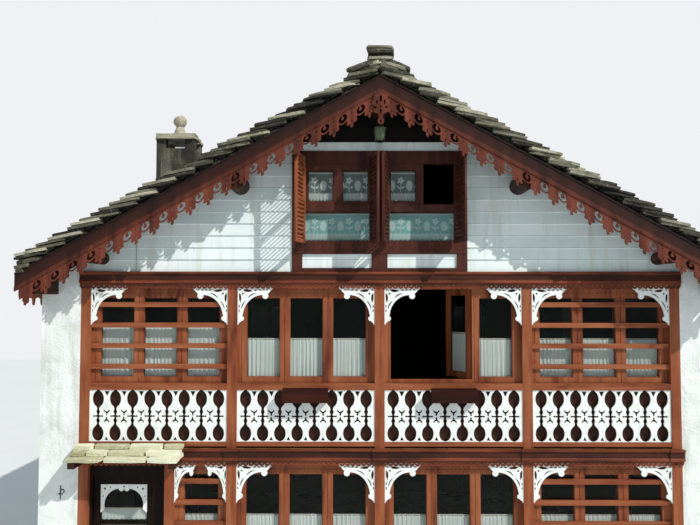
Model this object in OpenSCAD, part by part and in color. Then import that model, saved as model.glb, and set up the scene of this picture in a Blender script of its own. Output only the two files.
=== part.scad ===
// Alpine chalet with a glazed timber gallery, masonry side walls and a stone slab roof.
// Millimetres. X runs along the gable front, the front faces -Y, the ground is Z = 0.

/* [House] */
// Width between the outer faces of the two side walls
house_w = 9680; // [9000:20:10800]
// Depth from the front of the gallery posts to the back face
house_d = 8000; // [7200:100:9000]
// Thickness of the masonry walls
wall_t = 560; // [450:10:600]
// Height of the stone plinth above the ground
plinth_h = 240; // [150:10:400]
// Thickness of the upper floors
floor_t = 200; // [160:10:240]

/* [Gallery] */
// Side of the square gallery posts
post_s = 140; // [120:5:160]
// Height of the railing zone, from the floor to the top of the sill rail
rail_h = 920; // [860:10:960]
// Height of the sill rail
sill_h = 95; // [80:5:110]
// Height of the bottom rail under the pierced boards
foot_rail_h = 65; // [50:5:80]
// Gap between the floor and the bottom rail
foot_gap = 30; // [20:2:40]
// Thickness of the pierced white boards
board_t = 25; // [18:1:30]
// Set-back of the pierced boards behind the post fronts
board_in = 15; // [5:1:25]
// Number of pierced cells in a full bay
cells = 8; // [6:1:9]
// Set-back of the window frames and parapet panels behind the post fronts
frame_in = 85; // [80:1:95]
// Thickness of the window frames
frame_t = 60; // [50:1:70]
// Width of the outer stile on each side of a three-light window
side_stile = 130; // [110:5:150]
// Width of one glass pane in a full bay
pane_w = 465; // [400:5:480]
// Width of the sash stiles beside the glass
sash_w = 74; // [60:1:76]
// Width of the groove round each sash
sash_gap = 5; // [3:1:6]
// Height of the sash rail under the glass
sash_rail = 88; // [80:2:110]
// Height of the head rail over the glass
head_rail = 180; // [150:5:220]
// Height of the low café curtains above the sash rail
cafe_h = 465; // [400:5:520]
// Height of the tall café curtains above the sash rail
tall_cafe_h = 660; // [600:5:720]
// Thickness of the glass
glass_t = 6; // [4:1:8]
// Height of a lattice bar
bar_h = 70; // [50:5:80]
// Depth of a lattice bar
bar_d = 45; // [35:1:45]
// Distance between lattice bars, centre to centre
bar_pitch = 295; // [270:5:300]
// Width of a fretwork corner bracket
bracket_w = 515; // [420:5:560]
// Height of a fretwork corner bracket
bracket_h = 560; // [480:5:600]
// Thickness of a fretwork corner bracket
bracket_t = 25; // [18:1:30]

/* [Bands] */
// Thickness of the fascia in front of the posts
fascia_t = 30; // [20:1:40]
// Height of the fascia
fascia_h = 160; // [130:5:180]
// Projection of the mouldings in front of the fascia
mould_out = 25; // [15:1:35]
// Height of the scalloped valance below the fascia
valance_h = 86; // [60:2:110]
// Thickness of the scalloped valance
valance_t = 14; // [10:1:20]
// Distance between scallops
scallop_pitch = 76; // [60:1:100]
// Width of the blocks on the first floor's band, one at each post
console_w = 210; // [180:5:240]
// Projection of these blocks in front of the band
console_out = 20; // [10:1:30]

/* [Door] */
// Width of the door leaf
door_w = 1000; // [900:5:1040]
// Height of the door leaf
door_h = 2090; // [1950:5:2120]
// Thickness of the door leaf
door_t = 45; // [40:1:60]
// Height of the lintel between the door and the floor above it
lintel_h = 204; // [160:2:260]
// Clearance round the door leaf
door_gap = 8; // [6:1:10]
// Thickness of the door jambs
door_jamb = 35; // [30:1:45]
// Set-back of the door leaf behind the post fronts
door_in = 150; // [140:5:200]
// Width of the door's stile on the hinge side
hinge_stile = 95; // [85:5:120]
// Width of the door's stile on the lock side
lock_stile = 240; // [200:5:260]
// Height of the door's lower panel
door_panel_h = 760; // [700:10:820]
// Width of the door's rails
door_rail = 130; // [110:5:150]
// Width of the canopy over the door
canopy_w = 1580; // [1400:10:1600]
// Projection of the canopy in front of the posts
canopy_out = 510; // [400:10:530]
// Thickness of one layer of the canopy's slabs
canopy_t = 60; // [45:5:70]
// Depth of the door step
step_d = 300; // [250:10:400]

/* [Attic] */
// Half width of the attic window group
attic_half = 1260; // [1200:5:1300]
// Height of the attic window group above the attic floor
attic_h = 1750; // [1700:5:1800]
// Height of the upper edge of the white boards above the attic floor
white_h = 1880; // [1860:5:1950]
// Thickness of the gable boarding
gable_t = 100; // [80:5:120]
// Visible height of one gable board
board_lap = 174; // [150:1:200]
// Width of an attic shutter leaf
shutter_w = 470; // [440:2:476]
// Height of an attic shutter leaf
shutter_h = 1250; // [1150:5:1280]
// Thickness of an attic shutter leaf
shutter_t = 32; // [25:1:35]
// Angle between the closed and the open place of the shutters
shutter_open = 102; // [95:1:105]

/* [Roof] */
// Pitch of the roof in degrees
pitch = 28.7; // [28:0.1:30]
// Height of the rafter undersides above the attic floor, at the inner faces of the side walls
eave_rise = 130; // [100:5:160]
// Overhang of the bargeboards in front of and behind the house
verge_out = 550; // [545:5:700]
// Overhang of the roof boards beside the side walls
eave_out = 160; // [120:10:300]
// Overhang of the stone slabs beyond the boards and bargeboards
slab_over = 60; // [40:5:90]
// Depth of the rafters
rafter_d = 160; // [140:5:180]
// Width of the rafters
rafter_w = 120; // [100:5:140]
// Number of rafters between the gable walls
rafter_n = 10; // [8:1:11]
// Thickness of the roof boarding
deck_t = 40; // [30:1:50]
// Thickness of one course of stone slabs
slab_t = 75; // [60:1:90]
// Visible length of one course of stone slabs
slab_lap = 290; // [250:5:340]
// Thickness of the hidden slab layers under each course
slab_bed = 100; // [60:5:120]
// Diameter of the ridge and middle purlins
purlin_d = 250; // [200:5:260]
// Distance of the middle purlins from the ridge
purlin_x = 2000; // [1900:10:2100]
// Diameter of the lower purlins
low_purlin_d = 180; // [150:5:200]
// Distance of the lower purlins from the inner faces of the side walls
low_purlin_in = 300; // [250:10:350]
// Width of the wall plates
plate_w = 190; // [160:5:220]
// Height of the wall plates
plate_h = 225; // [180:5:260]
// Distance between the middle of the wall plates and the outer faces of the walls
plate_in = 140; // [120:5:200]
// Drop of the bargeboards below the rafter undersides
barge_low = 25; // [10:5:40]
// Thickness of the bargeboards
barge_t = 35; // [30:1:35]
// Height of the moulding along the lower edge of the bargeboards
bead_h = 50; // [40:2:60]
// Projection of this moulding
bead_out = 14; // [8:1:20]
// Thickness of the hanging fretwork under the bargeboards
drop_t = 25; // [20:1:25]
// Length of a fretwork drop
drop_l = 196; // [180:2:200]
// Distance between fretwork drops along the slope
drop_pitch = 280; // [260:5:300]

/* [Chimney] */
// Distance of the middle of the chimney from the inner face of the left wall
chimney_in = 900; // [800:10:1000]
// Distance of the middle of the chimney from the front
chimney_back = 2100; // [1900:50:2300]
// Side of the square chimney shaft
chimney_s = 640; // [600:10:700]
// Side of the square flue
flue_s = 320; // [250:10:360]
// Height of the shaft top above the rafter undersides beside it
chimney_rise = 1680; // [1500:10:1750]
// Height of the hearth wall under the flue
hearth_h = 600; // [500:10:700]
// Width of the chimney cap
cap_w = 880; // [800:10:960]
// Thickness of one slab of the chimney cap
cap_t = 70; // [50:5:80]
// Diameter of the cone on the cap at its foot
cone_d = 300; // [260:10:340]
// Height of the cone
cone_h = 160; // [120:5:200]
// Diameter of the stone ball
ball_d = 240; // [200:10:260]

/* [Hidden] */
$fn = 48;

timber = "#8a4634";
dark_timber = "#4c241c";
white = "#eef1ee";
plaster = "#e4e6e1";
stone = "#7b7767";
pale_stone = "#cfcba4";
iron = "#2b2a28";
pane = "#6f8c88";
lace = "#dfe6e4";

seat = 0.3;
half_w = house_w / 2;
inner_x = half_w - wall_t;
front = -house_d / 2;
back = house_d / 2;
storey_h = door_h + 2 * door_gap + lintel_h + floor_t;
first_z = plinth_h + storey_h;
attic_z = plinth_h + 2 * storey_h;
post_x = inner_x - post_s / 2;
bay = post_x / 2;
clear_w = bay - post_s;
door_post_x = post_x - post_s / 2 - door_w - 2 * (door_jamb + door_gap);
slope = tan(pitch);
rise = 1 / cos(pitch);
apex_z = attic_z + eave_rise + inner_x * slope;
barge_y = house_d / 2 + verge_out;
roof_y = barge_y + slab_over;
board_x = half_w + eave_out;
roof_x = board_x + slab_over;
low_purlin_x = inner_x - low_purlin_in;
chimney_x = inner_x - chimney_in;
chimney_y = house_d / 2 - chimney_back;
chimney_top = under(chimney_x) + chimney_rise;
pane_h = storey_h - floor_t - rail_h - sash_rail - head_rail;
mullion = (clear_w - 2 * side_stile - 3 * pane_w) / 2;
frame_y = front + frame_in;
glass_y = frame_y + frame_t / 2 - glass_t / 2;

// Height of the rafter underside at a distance x from the ridge
function under(x) = apex_z - abs(x) * slope;

// A profile drawn in X and Z, run from y0 to y1
module along_y(y0, y1) {
    translate([0, y1, 0]) rotate([90, 0, 0]) linear_extrude(y1 - y0) children();
}

// A profile drawn in Y and Z, run from x0 to x1
module along_x(x0, x1) {
    translate([x0, 0, 0]) rotate([90, 0, 90]) linear_extrude(x1 - x0) children();
}

// A box from one corner to the other
module block(x0, x1, y0, y1, z0, z1) {
    translate([x0, y0, z0]) cube([x1 - x0, y1 - y0, z1 - z0]);
}

// One sloping layer of the right half of the roof, from lo to hi above the rafter underside
module roof_layer(x0, x1, lo, hi) {
    polygon([
        [x0, under(x0) + lo * rise], [x1, under(x1) + lo * rise],
        [x1, under(x1) + hi * rise], [x0, under(x0) + hi * rise]
    ]);
}

// The gable outline between x = -w and x = w, from the level z up to the roof boarding
module gable_outline(w, z) {
    top = rafter_d * rise;
    polygon([[-w, z], [w, z], [w, under(w) + top], [0, under(0) + top], [-w, under(w) + top]]);
}

module both_sides() {
    children();
    mirror([1, 0, 0]) children();
}

// Walls, floors and plinth

module stone_plinth() color(stone) difference() {
    block(-half_w, half_w, front, back, 0, plinth_h);
    block(-inner_x, inner_x, front + wall_t, back - wall_t, -1, plinth_h + 1);
}

module ground_floor() color(stone)
    block(-inner_x, inner_x, front + wall_t, back - wall_t, 0, plinth_h);

module posts_at(extra) {
    for (i = [-2:2])
        translate([i * bay, front + post_s / 2, 0])
            block(-post_s / 2 - extra, post_s / 2 + extra, -post_s / 2 - extra, post_s / 2 + extra,
                plinth_h, attic_z - floor_t);
}

module upper_floor(z) difference() {
    block(-inner_x, inner_x, front, back - wall_t, z - floor_t, z);
    posts_at(0);
    block(-chimney_x - chimney_s / 2, -chimney_x + chimney_s / 2,
        -chimney_y - chimney_s / 2, -chimney_y + chimney_s / 2, z - floor_t - 1, z + 1);
}

module first_floor() color(timber) upper_floor(first_z);

module attic_floor() color(timber) upper_floor(attic_z);

win_w = 800;
win_h = 1100;
win_sill = 900;
win_frame = 70;
side_win_y = [-house_d / 5, house_d / 5];
back_win_x = [-house_w / 4, house_w / 4];

// Places of the small windows: each is [wall, place along it, floor level]
small_windows = [
    for (z = [plinth_h, first_z]) each [
        for (y = side_win_y) each [["left", y, z], ["right", y, z]],
        for (x = back_win_x) ["back", x, z]
    ],
    ["back", 0, attic_z]
];

// Puts a piece drawn in the back wall's window, at x = 0 and floor 0, in one of the windows
module at_window(w) {
    if (w[0] == "back") translate([w[1], back, w[2]]) children();
    if (w[0] == "left") translate([-half_w, w[1], w[2]]) rotate([0, 0, 90]) children();
    if (w[0] == "right") translate([half_w, w[1], w[2]]) rotate([0, 0, -90]) children();
}

module window_holes(wall) {
    for (w = small_windows)
        if (w[0] == wall)
            at_window(w)
                block(-win_w / 2, win_w / 2, -wall_t - 1, 1, win_sill, win_sill + win_h);
}

plate_x = half_w - plate_in;
plate_z = under(plate_x) - plate_h;

// The right side wall; its top follows the rafters and has a bed for the wall plate
module side_wall() {
    difference() {
        along_y(front, back)
            polygon([
                [inner_x, plinth_h], [half_w, plinth_h],
                [half_w, under(half_w)], [inner_x, under(inner_x)]
            ]);
        block(plate_x - plate_w / 2, plate_x + plate_w / 2, front - 1, back + 1, plate_z, apex_z);
    }
}

module left_wall() color(plaster) difference() {
    mirror([1, 0, 0]) side_wall();
    window_holes("left");
}

module right_wall() color(plaster) difference() {
    side_wall();
    window_holes("right");
}

module back_wall() color(plaster) difference() {
    along_y(back - wall_t, back) gable_outline(inner_x, plinth_h);
    window_holes("back");
    purlin_logs(seat);
}

module wall_windows() color(timber)
    for (w = small_windows)
        at_window(w) translate([0, -wall_t / 2, 0]) difference() {
            block(-win_w / 2, win_w / 2, -frame_t / 2, frame_t / 2, win_sill, win_sill + win_h);
            for (s = [-1, 1])
                translate([s * (win_w / 4 - win_frame / 8), 0, 0])
                    block(-win_w / 4 + win_frame * 3 / 4, win_w / 4 - win_frame * 3 / 4,
                        -frame_t, frame_t, win_sill + win_frame, win_sill + win_h - win_frame);
        }

module wall_glass() color(pane)
    for (w = small_windows)
        at_window(w) translate([0, -wall_t / 2, 0])
            for (s = [-1, 1])
                translate([s * (win_w / 4 - win_frame / 8), 0, 0])
                    block(-win_w / 4 + win_frame * 3 / 4, win_w / 4 - win_frame * 3 / 4,
                        -glass_t / 2, glass_t / 2, win_sill + win_frame, win_sill + win_h - win_frame);

// Gallery

module gallery_posts() color(timber) {
    posts_at(0);
    block(-door_post_x, -door_post_x + post_s, front, front + post_s,
        plinth_h, first_z - floor_t);
}

// Left edge and clear width of each glazed bay; the ground floor's first bay is narrow
bays = [for (i = [-2:1]) [i * bay + post_s / 2, clear_w]];
narrow = [-door_post_x + post_s, door_post_x - post_s - bay - post_s / 2];
ground_bays = [narrow, bays[1], bays[2], bays[3]];

band_half = inner_x + 20;

// The profile of a band's fascia and mouldings, moved forward by out, with the floor level at z
module fascia_profile(z, out) {
    polygon([
        [front, z], [front - out - fascia_t - mould_out, z],
        [front - out - fascia_t - mould_out, z - 25], [front - out - fascia_t, z - 45],
        [front - out - fascia_t, z - fascia_h + 40],
        [front - out - fascia_t - mould_out / 2, z - fascia_h + 25],
        [front - out - fascia_t - mould_out / 2, z - fascia_h], [front, z - fascia_h]
    ]);
}

// The fascia, its mouldings and the scalloped valance, with the floor level at z
module band(z) {
    w = band_half;
    top = z;
    along_x(-w, w) fascia_profile(z, 0);
    along_y(front - valance_t, front) difference() {
        n = floor(2 * w / scallop_pitch);
        r = scallop_pitch / 2;
        union() {
            translate([-w, top - fascia_h - valance_h + r]) square([2 * w, valance_h - r]);
            for (i = [0:n - 1])
                translate([(i - (n - 1) / 2) * scallop_pitch, top - fascia_h - valance_h + r])
                    circle(r - 2);
        }
        for (i = [0:n - 1])
            translate([(i - (n - 1) / 2) * scallop_pitch, top - fascia_h - valance_h + r + 8])
                circle(r * 0.45);
    }
}

// The canopy covers the place of the blocks at the two posts beside the door
module first_floor_band() color(timber) {
    band(first_z);
    for (i = [-1:2])
        let (x = min(i * bay, band_half - console_w / 2))
            along_x(x - console_w / 2, x + console_w / 2) fascia_profile(first_z, console_out);
}

module attic_band() color(timber) band(attic_z);

// A pointed oval, made of two crossing arcs
module oval(w, h) {
    r = (w * w + h * h) / (4 * w);
    intersection() {
        translate([w / 2 - r, 0]) circle(r, $fn = 96);
        translate([r - w / 2, 0]) circle(r, $fn = 96);
    }
}

boards_h = rail_h - sill_h - foot_rail_h - foot_gap;

// What is cut out along one joint between two pierced boards, with the joint at x = 0;
// p is the distance between joints and h the height of the boards
module joint_cuts(p, h) {
    translate([0, h * 0.83]) oval(0.66 * p, 0.36 * h);
    translate([-0.10 * p, h * 0.94]) square([0.20 * p, h]);
    translate([0, h * 0.195]) oval(0.68 * p, 0.37 * h);
    translate([-0.10 * p, h * 0.35]) square([0.20 * p, h * 0.34]);
    for (z = [0.40, 0.51, 0.62])
        translate([0, h * z]) oval(0.34 * p, 0.09 * h);
    translate([-0.20 * p, h * 0.51 - 4]) square([0.40 * p, 8]);
    both_ways()
        translate([0.235 * p, h * 0.51]) difference() {
            circle(0.075 * p);
            translate([0.09 * p, 0]) circle(0.085 * p);
        }
}

module both_ways() {
    children();
    mirror([1, 0]) children();
}

// What is cut out in the middle of one pierced board
module board_cuts(p, h) {
    translate([0, h * 0.90]) polygon([[-0.11 * p, 0.07 * h], [0.11 * p, 0.07 * h], [0, -0.02 * h]]);
    translate([0, h * 0.03]) polygon([[-0.10 * p, 0], [0.10 * p, 0], [0, 0.09 * h]]);
    for (m = [0, 1])
        translate([0, h * 0.51]) mirror([0, m])
            polygon([
                [-0.03 * p, -0.001], [0.03 * p, -0.001], [0.035 * p, 0.05 * h], [0.17 * p, 0.10 * h],
                [0.16 * p, 0.118 * h], [0, 0.078 * h], [-0.16 * p, 0.118 * h],
                [-0.17 * p, 0.10 * h], [-0.035 * p, 0.05 * h]
            ]);
}

// One panel of pierced boards, w wide, in a bay that starts at x0
module pierced_panel(x0, w, z) {
    n = round(w / (clear_w / cells));
    p = w / n;
    y0 = front + board_in;
    translate([x0, 0, z + foot_gap + foot_rail_h])
        along_y(y0, y0 + board_t)
            difference() {
                square([w, boards_h]);
                for (i = [0:n - 1]) translate([(i + 0.5) * p, 0]) joint_cuts(p, boards_h);
                for (i = [1:n - 1]) translate([i * p, 0]) board_cuts(p, boards_h);
            }
}

module first_balustrades() color(white)
    for (b = bays) pierced_panel(b[0], b[1], first_z);

module ground_balustrades() color(white)
    for (b = ground_bays) pierced_panel(b[0], b[1], plinth_h);

// The panel behind the pierced boards, the foot rail under them and the sill rail over them
module parapet(x0, w, z) {
    block(x0, x0 + w, front, front + post_s, z + rail_h - sill_h, z + rail_h);
    block(x0, x0 + w, frame_y, frame_y + 40, z, z + rail_h - sill_h);
    block(x0, x0 + w, front + 5, frame_y, z + foot_gap, z + foot_gap + foot_rail_h);
}

module first_parapets() color(timber)
    for (b = bays) parapet(b[0], b[1], first_z);

module ground_parapets() color(timber)
    for (b = ground_bays) parapet(b[0], b[1], plinth_h);

win_z = rail_h;
head_z = storey_h - floor_t;

bar_n = floor(pane_h / bar_pitch + 0.2);

module bars(x0, w, z) {
    for (i = [0:bar_n - 1])
        translate([x0, frame_y - bar_d, z + rail_h + sash_rail + bar_pitch * (i + 0.5) - bar_h / 2])
            cube([w, bar_d, bar_h]);
}

module lattices() color(timber) {
    bars(bays[0][0], clear_w, first_z);
    bars(bays[3][0], clear_w, first_z);
    bars(narrow[0], narrow[1], plinth_h);
    bars(bays[3][0], clear_w, plinth_h);
}

// Left edge of each pane in a window of n lights and total width w
function pane_x(w, n) = [
    for (i = [0:n - 1]) side_stile + i * (pane_size(w, n) + mullion)
];
function pane_size(w, n) = (w - 2 * side_stile - (n - 1) * mullion) / n;

// One light's opening: the hole for the glass, the step round it and the groove round its sash
module light_cut(x, w) {
    z0 = win_z + sash_rail;
    z1 = z0 + pane_h;
    block(x, x + w, frame_y - 1, frame_y + frame_t + 1, z0, z1);
    block(x - bead, x + w + bead, frame_y - 1, frame_y + bead, z0 - bead, z1 + bead);
    difference() {
        block(x - sash_w - sash_gap, x + w + sash_w + sash_gap, frame_y - 1, frame_y + groove_d,
            z0 - sash_rail + 8, z1 + sash_w + sash_gap);
        block(x - sash_w, x + w + sash_w, frame_y - 2, frame_y + groove_d + 1,
            z0 - sash_rail + 8 + sash_gap, z1 + sash_w);
    }
}

bead = 10;
groove_d = 12;

module window_frame(x0, w, z, n) translate([x0, 0, z]) difference() {
    block(0, w, frame_y, frame_y + frame_t, win_z, head_z);
    for (x = pane_x(w, n)) light_cut(x, pane_size(w, n));
}

module window_glass(x0, w, z, n) translate([x0, 0, z])
    for (x = pane_x(w, n))
        block(x, x + pane_size(w, n), glass_y, glass_y + glass_t,
            win_z + sash_rail, win_z + sash_rail + pane_h);

function lights(w) = w < clear_w * 0.6 ? 1 : 3;

module first_window_frames() color(timber)
    for (i = [0, 1, 3]) window_frame(bays[i][0], clear_w, first_z, 3);

module ground_window_frames() color(timber)
    for (b = ground_bays) window_frame(b[0], b[1], plinth_h, lights(b[1]));

// The third bay: two casements stand open inward and one light is closed
open_x0 = bays[2][0];
open_jamb = 50;
open_right = side_stile + 2 * pane_w + mullion + mullion / 2 - 30;
leaf_w = (open_right - open_jamb) / 2 - 6;
leaf_stile = 85;
leaf_h = head_z - win_z - 2 * open_jamb;
leaf_t = 45;

// One casement leaf, hinged at x = 0 on its inner face, with the glass or only the wood
module leaf(glass) {
    if (glass)
        block(leaf_stile, leaf_w - leaf_stile, -leaf_t / 2 - glass_t / 2, -leaf_t / 2 + glass_t / 2,
            leaf_stile, leaf_h - leaf_stile);
    else difference() {
        block(0, leaf_w, -leaf_t, 0, 0, leaf_h);
        block(leaf_stile, leaf_w - leaf_stile, -leaf_t - 1, 1, leaf_stile, leaf_h - leaf_stile);
    }
}

module open_leaves(glass) {
    z = first_z + win_z + open_jamb;
    y = frame_y + frame_t + seat;
    translate([open_x0 + open_jamb, y, z]) rotate([0, 0, 92]) leaf(glass);
    translate([open_x0 + open_right, y, z]) mirror([1, 0, 0]) rotate([0, 0, 64]) leaf(glass);
}

module open_window() color(timber) {
    difference() {
        window_frame(open_x0, clear_w, first_z, 3);
        translate([open_x0, 0, first_z])
            block(open_jamb, open_right, frame_y - 1, frame_y + frame_t + 1,
                win_z + open_jamb, head_z - open_jamb);
    }
    open_leaves(false);
}

module first_glass() color(pane) {
    for (i = [0, 1, 3]) window_glass(bays[i][0], clear_w, first_z, 3);
    x = open_x0 + pane_x(clear_w, 3)[2];
    block(x, x + pane_size(clear_w, 3), glass_y, glass_y + glass_t,
        first_z + win_z + sash_rail, first_z + win_z + sash_rail + pane_h);
    open_leaves(true);
}

module ground_glass() color(pane)
    for (b = ground_bays) window_glass(b[0], b[1], plinth_h, lights(b[1]));

// The part of a ring from its left side round to its top, centred on the origin
module quarter_ring(r, t) {
    difference() {
        intersection() {
            circle(r + t / 2, $fn = 96);
            translate([-2 * r, 0]) square(2 * r);
        }
        circle(r - t / 2, $fn = 96);
    }
}

// A fretwork bracket in the corner at x = 0 and z = 0, which reaches right and down: two arms,
// a rib that ends in a ball at each arm, a second rib behind it and a pierced corner
module bracket(w, h) {
    arm = 0.125 * w;
    rib = 0.085 * w;
    r = min(w, h) * 0.62;
    cx = arm * 0.9 + r;
    cz = -arm * 1.75 - r;
    ball = 0.07 * w;
    along_y(0, bracket_t) difference() {
        union() {
            polygon([[0, 0], [w, 0], [w - arm * 1.3, -arm], [0, -arm]]);
            polygon([[0, 0], [arm, 0], [arm, -h + arm * 1.6], [0, -h]]);
            translate([cx, cz]) quarter_ring(r, rib);
            translate([cx - 0.08 * w, cz + 0.08 * w]) quarter_ring(r, rib * 0.7);
            translate([cx, cz + r - ball * 0.3]) circle(ball);
            translate([arm + ball * 0.5, cz]) circle(ball);
            translate([cx - 2, cz + r]) square([w - arm * 1.3 - cx, -arm - cz - r + 2]);
            translate([0, cz - 1]) square([arm + ball * 0.5, rib]);
            polygon([[0, 0], [0.34 * w, 0], [0, -0.34 * w]]);
        }
        translate([0.07 * w, -0.07 * w]) circle(0.028 * w);
        for (m = [0, 1])
            mirror([m, m ? 1 : 0])
                polygon([
                    [0.13 * w, -0.045 * w], [0.27 * w, -0.045 * w],
                    [0.215 * w, -0.10 * w], [0.14 * w, -0.085 * w]
                ]);
    }
}

bracket_y = front + 10;

module bracket_pair(x0, w, z) {
    top = z + storey_h - floor_t;
    bw = min(bracket_w, 0.42 * w);
    translate([x0, bracket_y, top]) bracket(bw, bracket_h);
    translate([x0 + w, bracket_y, top]) mirror([1, 0, 0]) bracket(bw, bracket_h);
}

module corner_brackets() color(white) {
    for (b = bays) bracket_pair(b[0], b[1], first_z);
    for (b = ground_bays) bracket_pair(b[0], b[1], plinth_h);
}

// Gable

gable_y = front + 10;

module attic_opening() {
    block(-attic_half, attic_half, gable_y - 1, gable_y + gable_t + 1, attic_z - 1, attic_z + attic_h);
}

module gable_boarding() color(white) {
    difference() {
        intersection() {
            along_y(gable_y, gable_y + gable_t) gable_outline(inner_x, attic_z);
            along_x(-half_w, half_w)
                polygon([
                    [gable_y + gable_t, attic_z],
                    for (i = [0:ceil(white_h / board_lap) - 1])
                        let (z = attic_z + i * board_lap, zt = min(z + board_lap, attic_z + white_h))
                            each [[gable_y, z], [gable_y + 15, zt]],
                    [gable_y + gable_t, attic_z + white_h]
                ]);
        }
        attic_opening();
        purlin_logs(seat);
    }
    both_sides() attic_panel(gable_y + 10, gable_y + gable_t);
}

module gable_peak() color(dark_timber) difference() {
    intersection() {
        along_y(gable_y + 15, gable_y + gable_t) gable_outline(inner_x, attic_z);
        block(-inner_x, inner_x, front, front + wall_t, attic_z + white_h, apex_z + slab_lo * rise);
    }
    purlin_logs(seat);
}

attic_front = front - 8;
attic_jamb = 150;
attic_post = 230;
attic_head = 165;
attic_rail_z = 256;
attic_panel_z = 56;
attic_rail_h = 160;
attic_transom_z = 705;
attic_transom_h = 110;

// One pane zone of the attic window group: left edge, right edge, bottom and top above the floor
attic_panes = [
    for (s = [-1, 1])
        let (a = attic_post / 2, b = attic_half - attic_jamb)
            each [
                [s < 0 ? -b : a, s < 0 ? -a : b, attic_rail_z + attic_rail_h, attic_transom_z],
                [s < 0 ? -b + 60 : a + 30, s < 0 ? -(a + b) / 2 - 35 : (a + b) / 2 - 35,
                    attic_transom_z + attic_transom_h, attic_h - attic_head - 40],
                [s < 0 ? -(a + b) / 2 + 35 : (a + b) / 2 + 35, s < 0 ? -a - 30 : b - 60,
                    attic_transom_z + attic_transom_h, attic_h - attic_head - 40]
            ]
];

// The white panel under one of the attic windows, from y0 to y1
module attic_panel(y0, y1) {
    block(attic_post / 2, attic_half - attic_jamb, y0, y1, attic_z + attic_panel_z, attic_z + attic_rail_z);
}

module attic_window_frame() color(timber) {
    difference() {
        block(-attic_half, attic_half, attic_front, gable_y + gable_t, attic_z, attic_z + attic_h);
        for (p = attic_panes) {
            block(p[0], p[1], attic_front - 1, gable_y + gable_t + 1, attic_z + p[2], attic_z + p[3]);
            block(p[0] - bead, p[1] + bead, attic_front - 1, attic_front + bead,
                attic_z + p[2] - bead, attic_z + p[3] + bead);
        }
        both_sides() attic_panel(attic_front - 1, gable_y + gable_t + 1);
    }
    both_sides() {
        translate([-hinge_out, 0, 0]) shutter_lugs();
        translate([hinge_in, 0, 0]) shutter_lugs();
    }
}

// Hinge lugs on the frame, level with the hinge line at x = 0, on the side away from the leaf
lug_h = 90;

module shutter_lugs() {
    for (z = [0.12, 0.5, 0.88])
        block(-18, -seat, shutter_y, attic_front, shutter_z + z * shutter_h - lug_h / 2,
            shutter_z + z * shutter_h + lug_h / 2);
}

attic_glass_y = gable_y + gable_t / 2;

module attic_glass() color(pane)
    for (p = attic_panes)
        if (p != attic_panes[5])
            block(p[0], p[1], attic_glass_y, attic_glass_y + glass_t, attic_z + p[2], attic_z + p[3]);

shutter_z = attic_z + attic_rail_z + attic_rail_h - 10;
shutter_y = attic_front - 6 - shutter_t;
shutter_frame = 55;
louvres = 16;

// One louvred leaf, hinged at x = 0 on its outer face, shut when it lies along +X
module shutter_leaf() {
    z1 = shutter_h - shutter_frame;
    p = (z1 - shutter_frame) / louvres;
    difference() {
        block(0, shutter_w, 0, shutter_t, 0, shutter_h);
        block(shutter_frame, shutter_w - shutter_frame, -1, shutter_t + 1, shutter_frame, z1);
    }
    for (i = [0:louvres - 1])
        along_x(shutter_frame, shutter_w - shutter_frame)
            translate([4, shutter_frame + i * p])
                polygon([[0, 0], [8, 0], [shutter_t - 8, p * 0.85], [shutter_t - 16, p * 0.85]]);
}

hinge_out = attic_half - attic_jamb - 20;
hinge_in = attic_post / 2;

module attic_shutter_1() color(timber)
    translate([-hinge_out, shutter_y, shutter_z]) rotate([0, 0, -shutter_open]) shutter_leaf();

module attic_shutter_2() color(timber)
    translate([-hinge_in, shutter_y, shutter_z]) mirror([1, 0, 0])
        rotate([0, 0, -shutter_open]) shutter_leaf();

module attic_shutter_3() color(timber)
    translate([hinge_in, shutter_y, shutter_z]) rotate([0, 0, -shutter_open]) shutter_leaf();

module attic_shutter_4() color(timber)
    translate([hinge_out, shutter_y, shutter_z]) mirror([1, 0, 0])
        rotate([0, 0, -shutter_open]) shutter_leaf();

// Roof

// Points along an arc round c with the radius r, from the angle a to b in n steps
function arc(c, r, a, b, n) = [
    for (i = [0:n]) c + r * [cos(a + (b - a) * i / n), sin(a + (b - a) * i / n)]
];

// The right half of one motif's lower edge, from the tip of the leaf at x = 0 to the middle of
// the volute at x = p / 2; p is the distance between leaves and l their length
function half_motif(p, l) = [
    each arc([0, -l + 0.08 * p], 0.08 * p, -90, -20, 4),
    each arc([0.10 * p, -0.74 * l], 0.085 * p, -75, 15, 4),
    each arc([0.17 * p, -0.53 * l], 0.08 * p, -55, 130, 6),
    [0.105 * p, -0.36 * l],
    [0.12 * p, -0.26 * l],
    [0.17 * p, -0.20 * l],
    [0.44 * p, -0.20 * l],
    each arc([0.5 * p, -0.34 * l], 0.095 * p, 140, 270, 5)
];

// The whole lower edge of one motif, from left to right, turned and moved to its place
function motif(p, l, x, a) = let (h = half_motif(p, l), n = len(h) - 1)
    [
        for (i = [n - 1:-1:1]) x + turned([-h[i][0], h[i][1]], a),
        for (i = [0:n]) x + turned(h[i], a)
    ];

function turned(q, a) = [q[0] * cos(a) - q[1] * sin(a), q[0] * sin(a) + q[1] * cos(a)];

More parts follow.
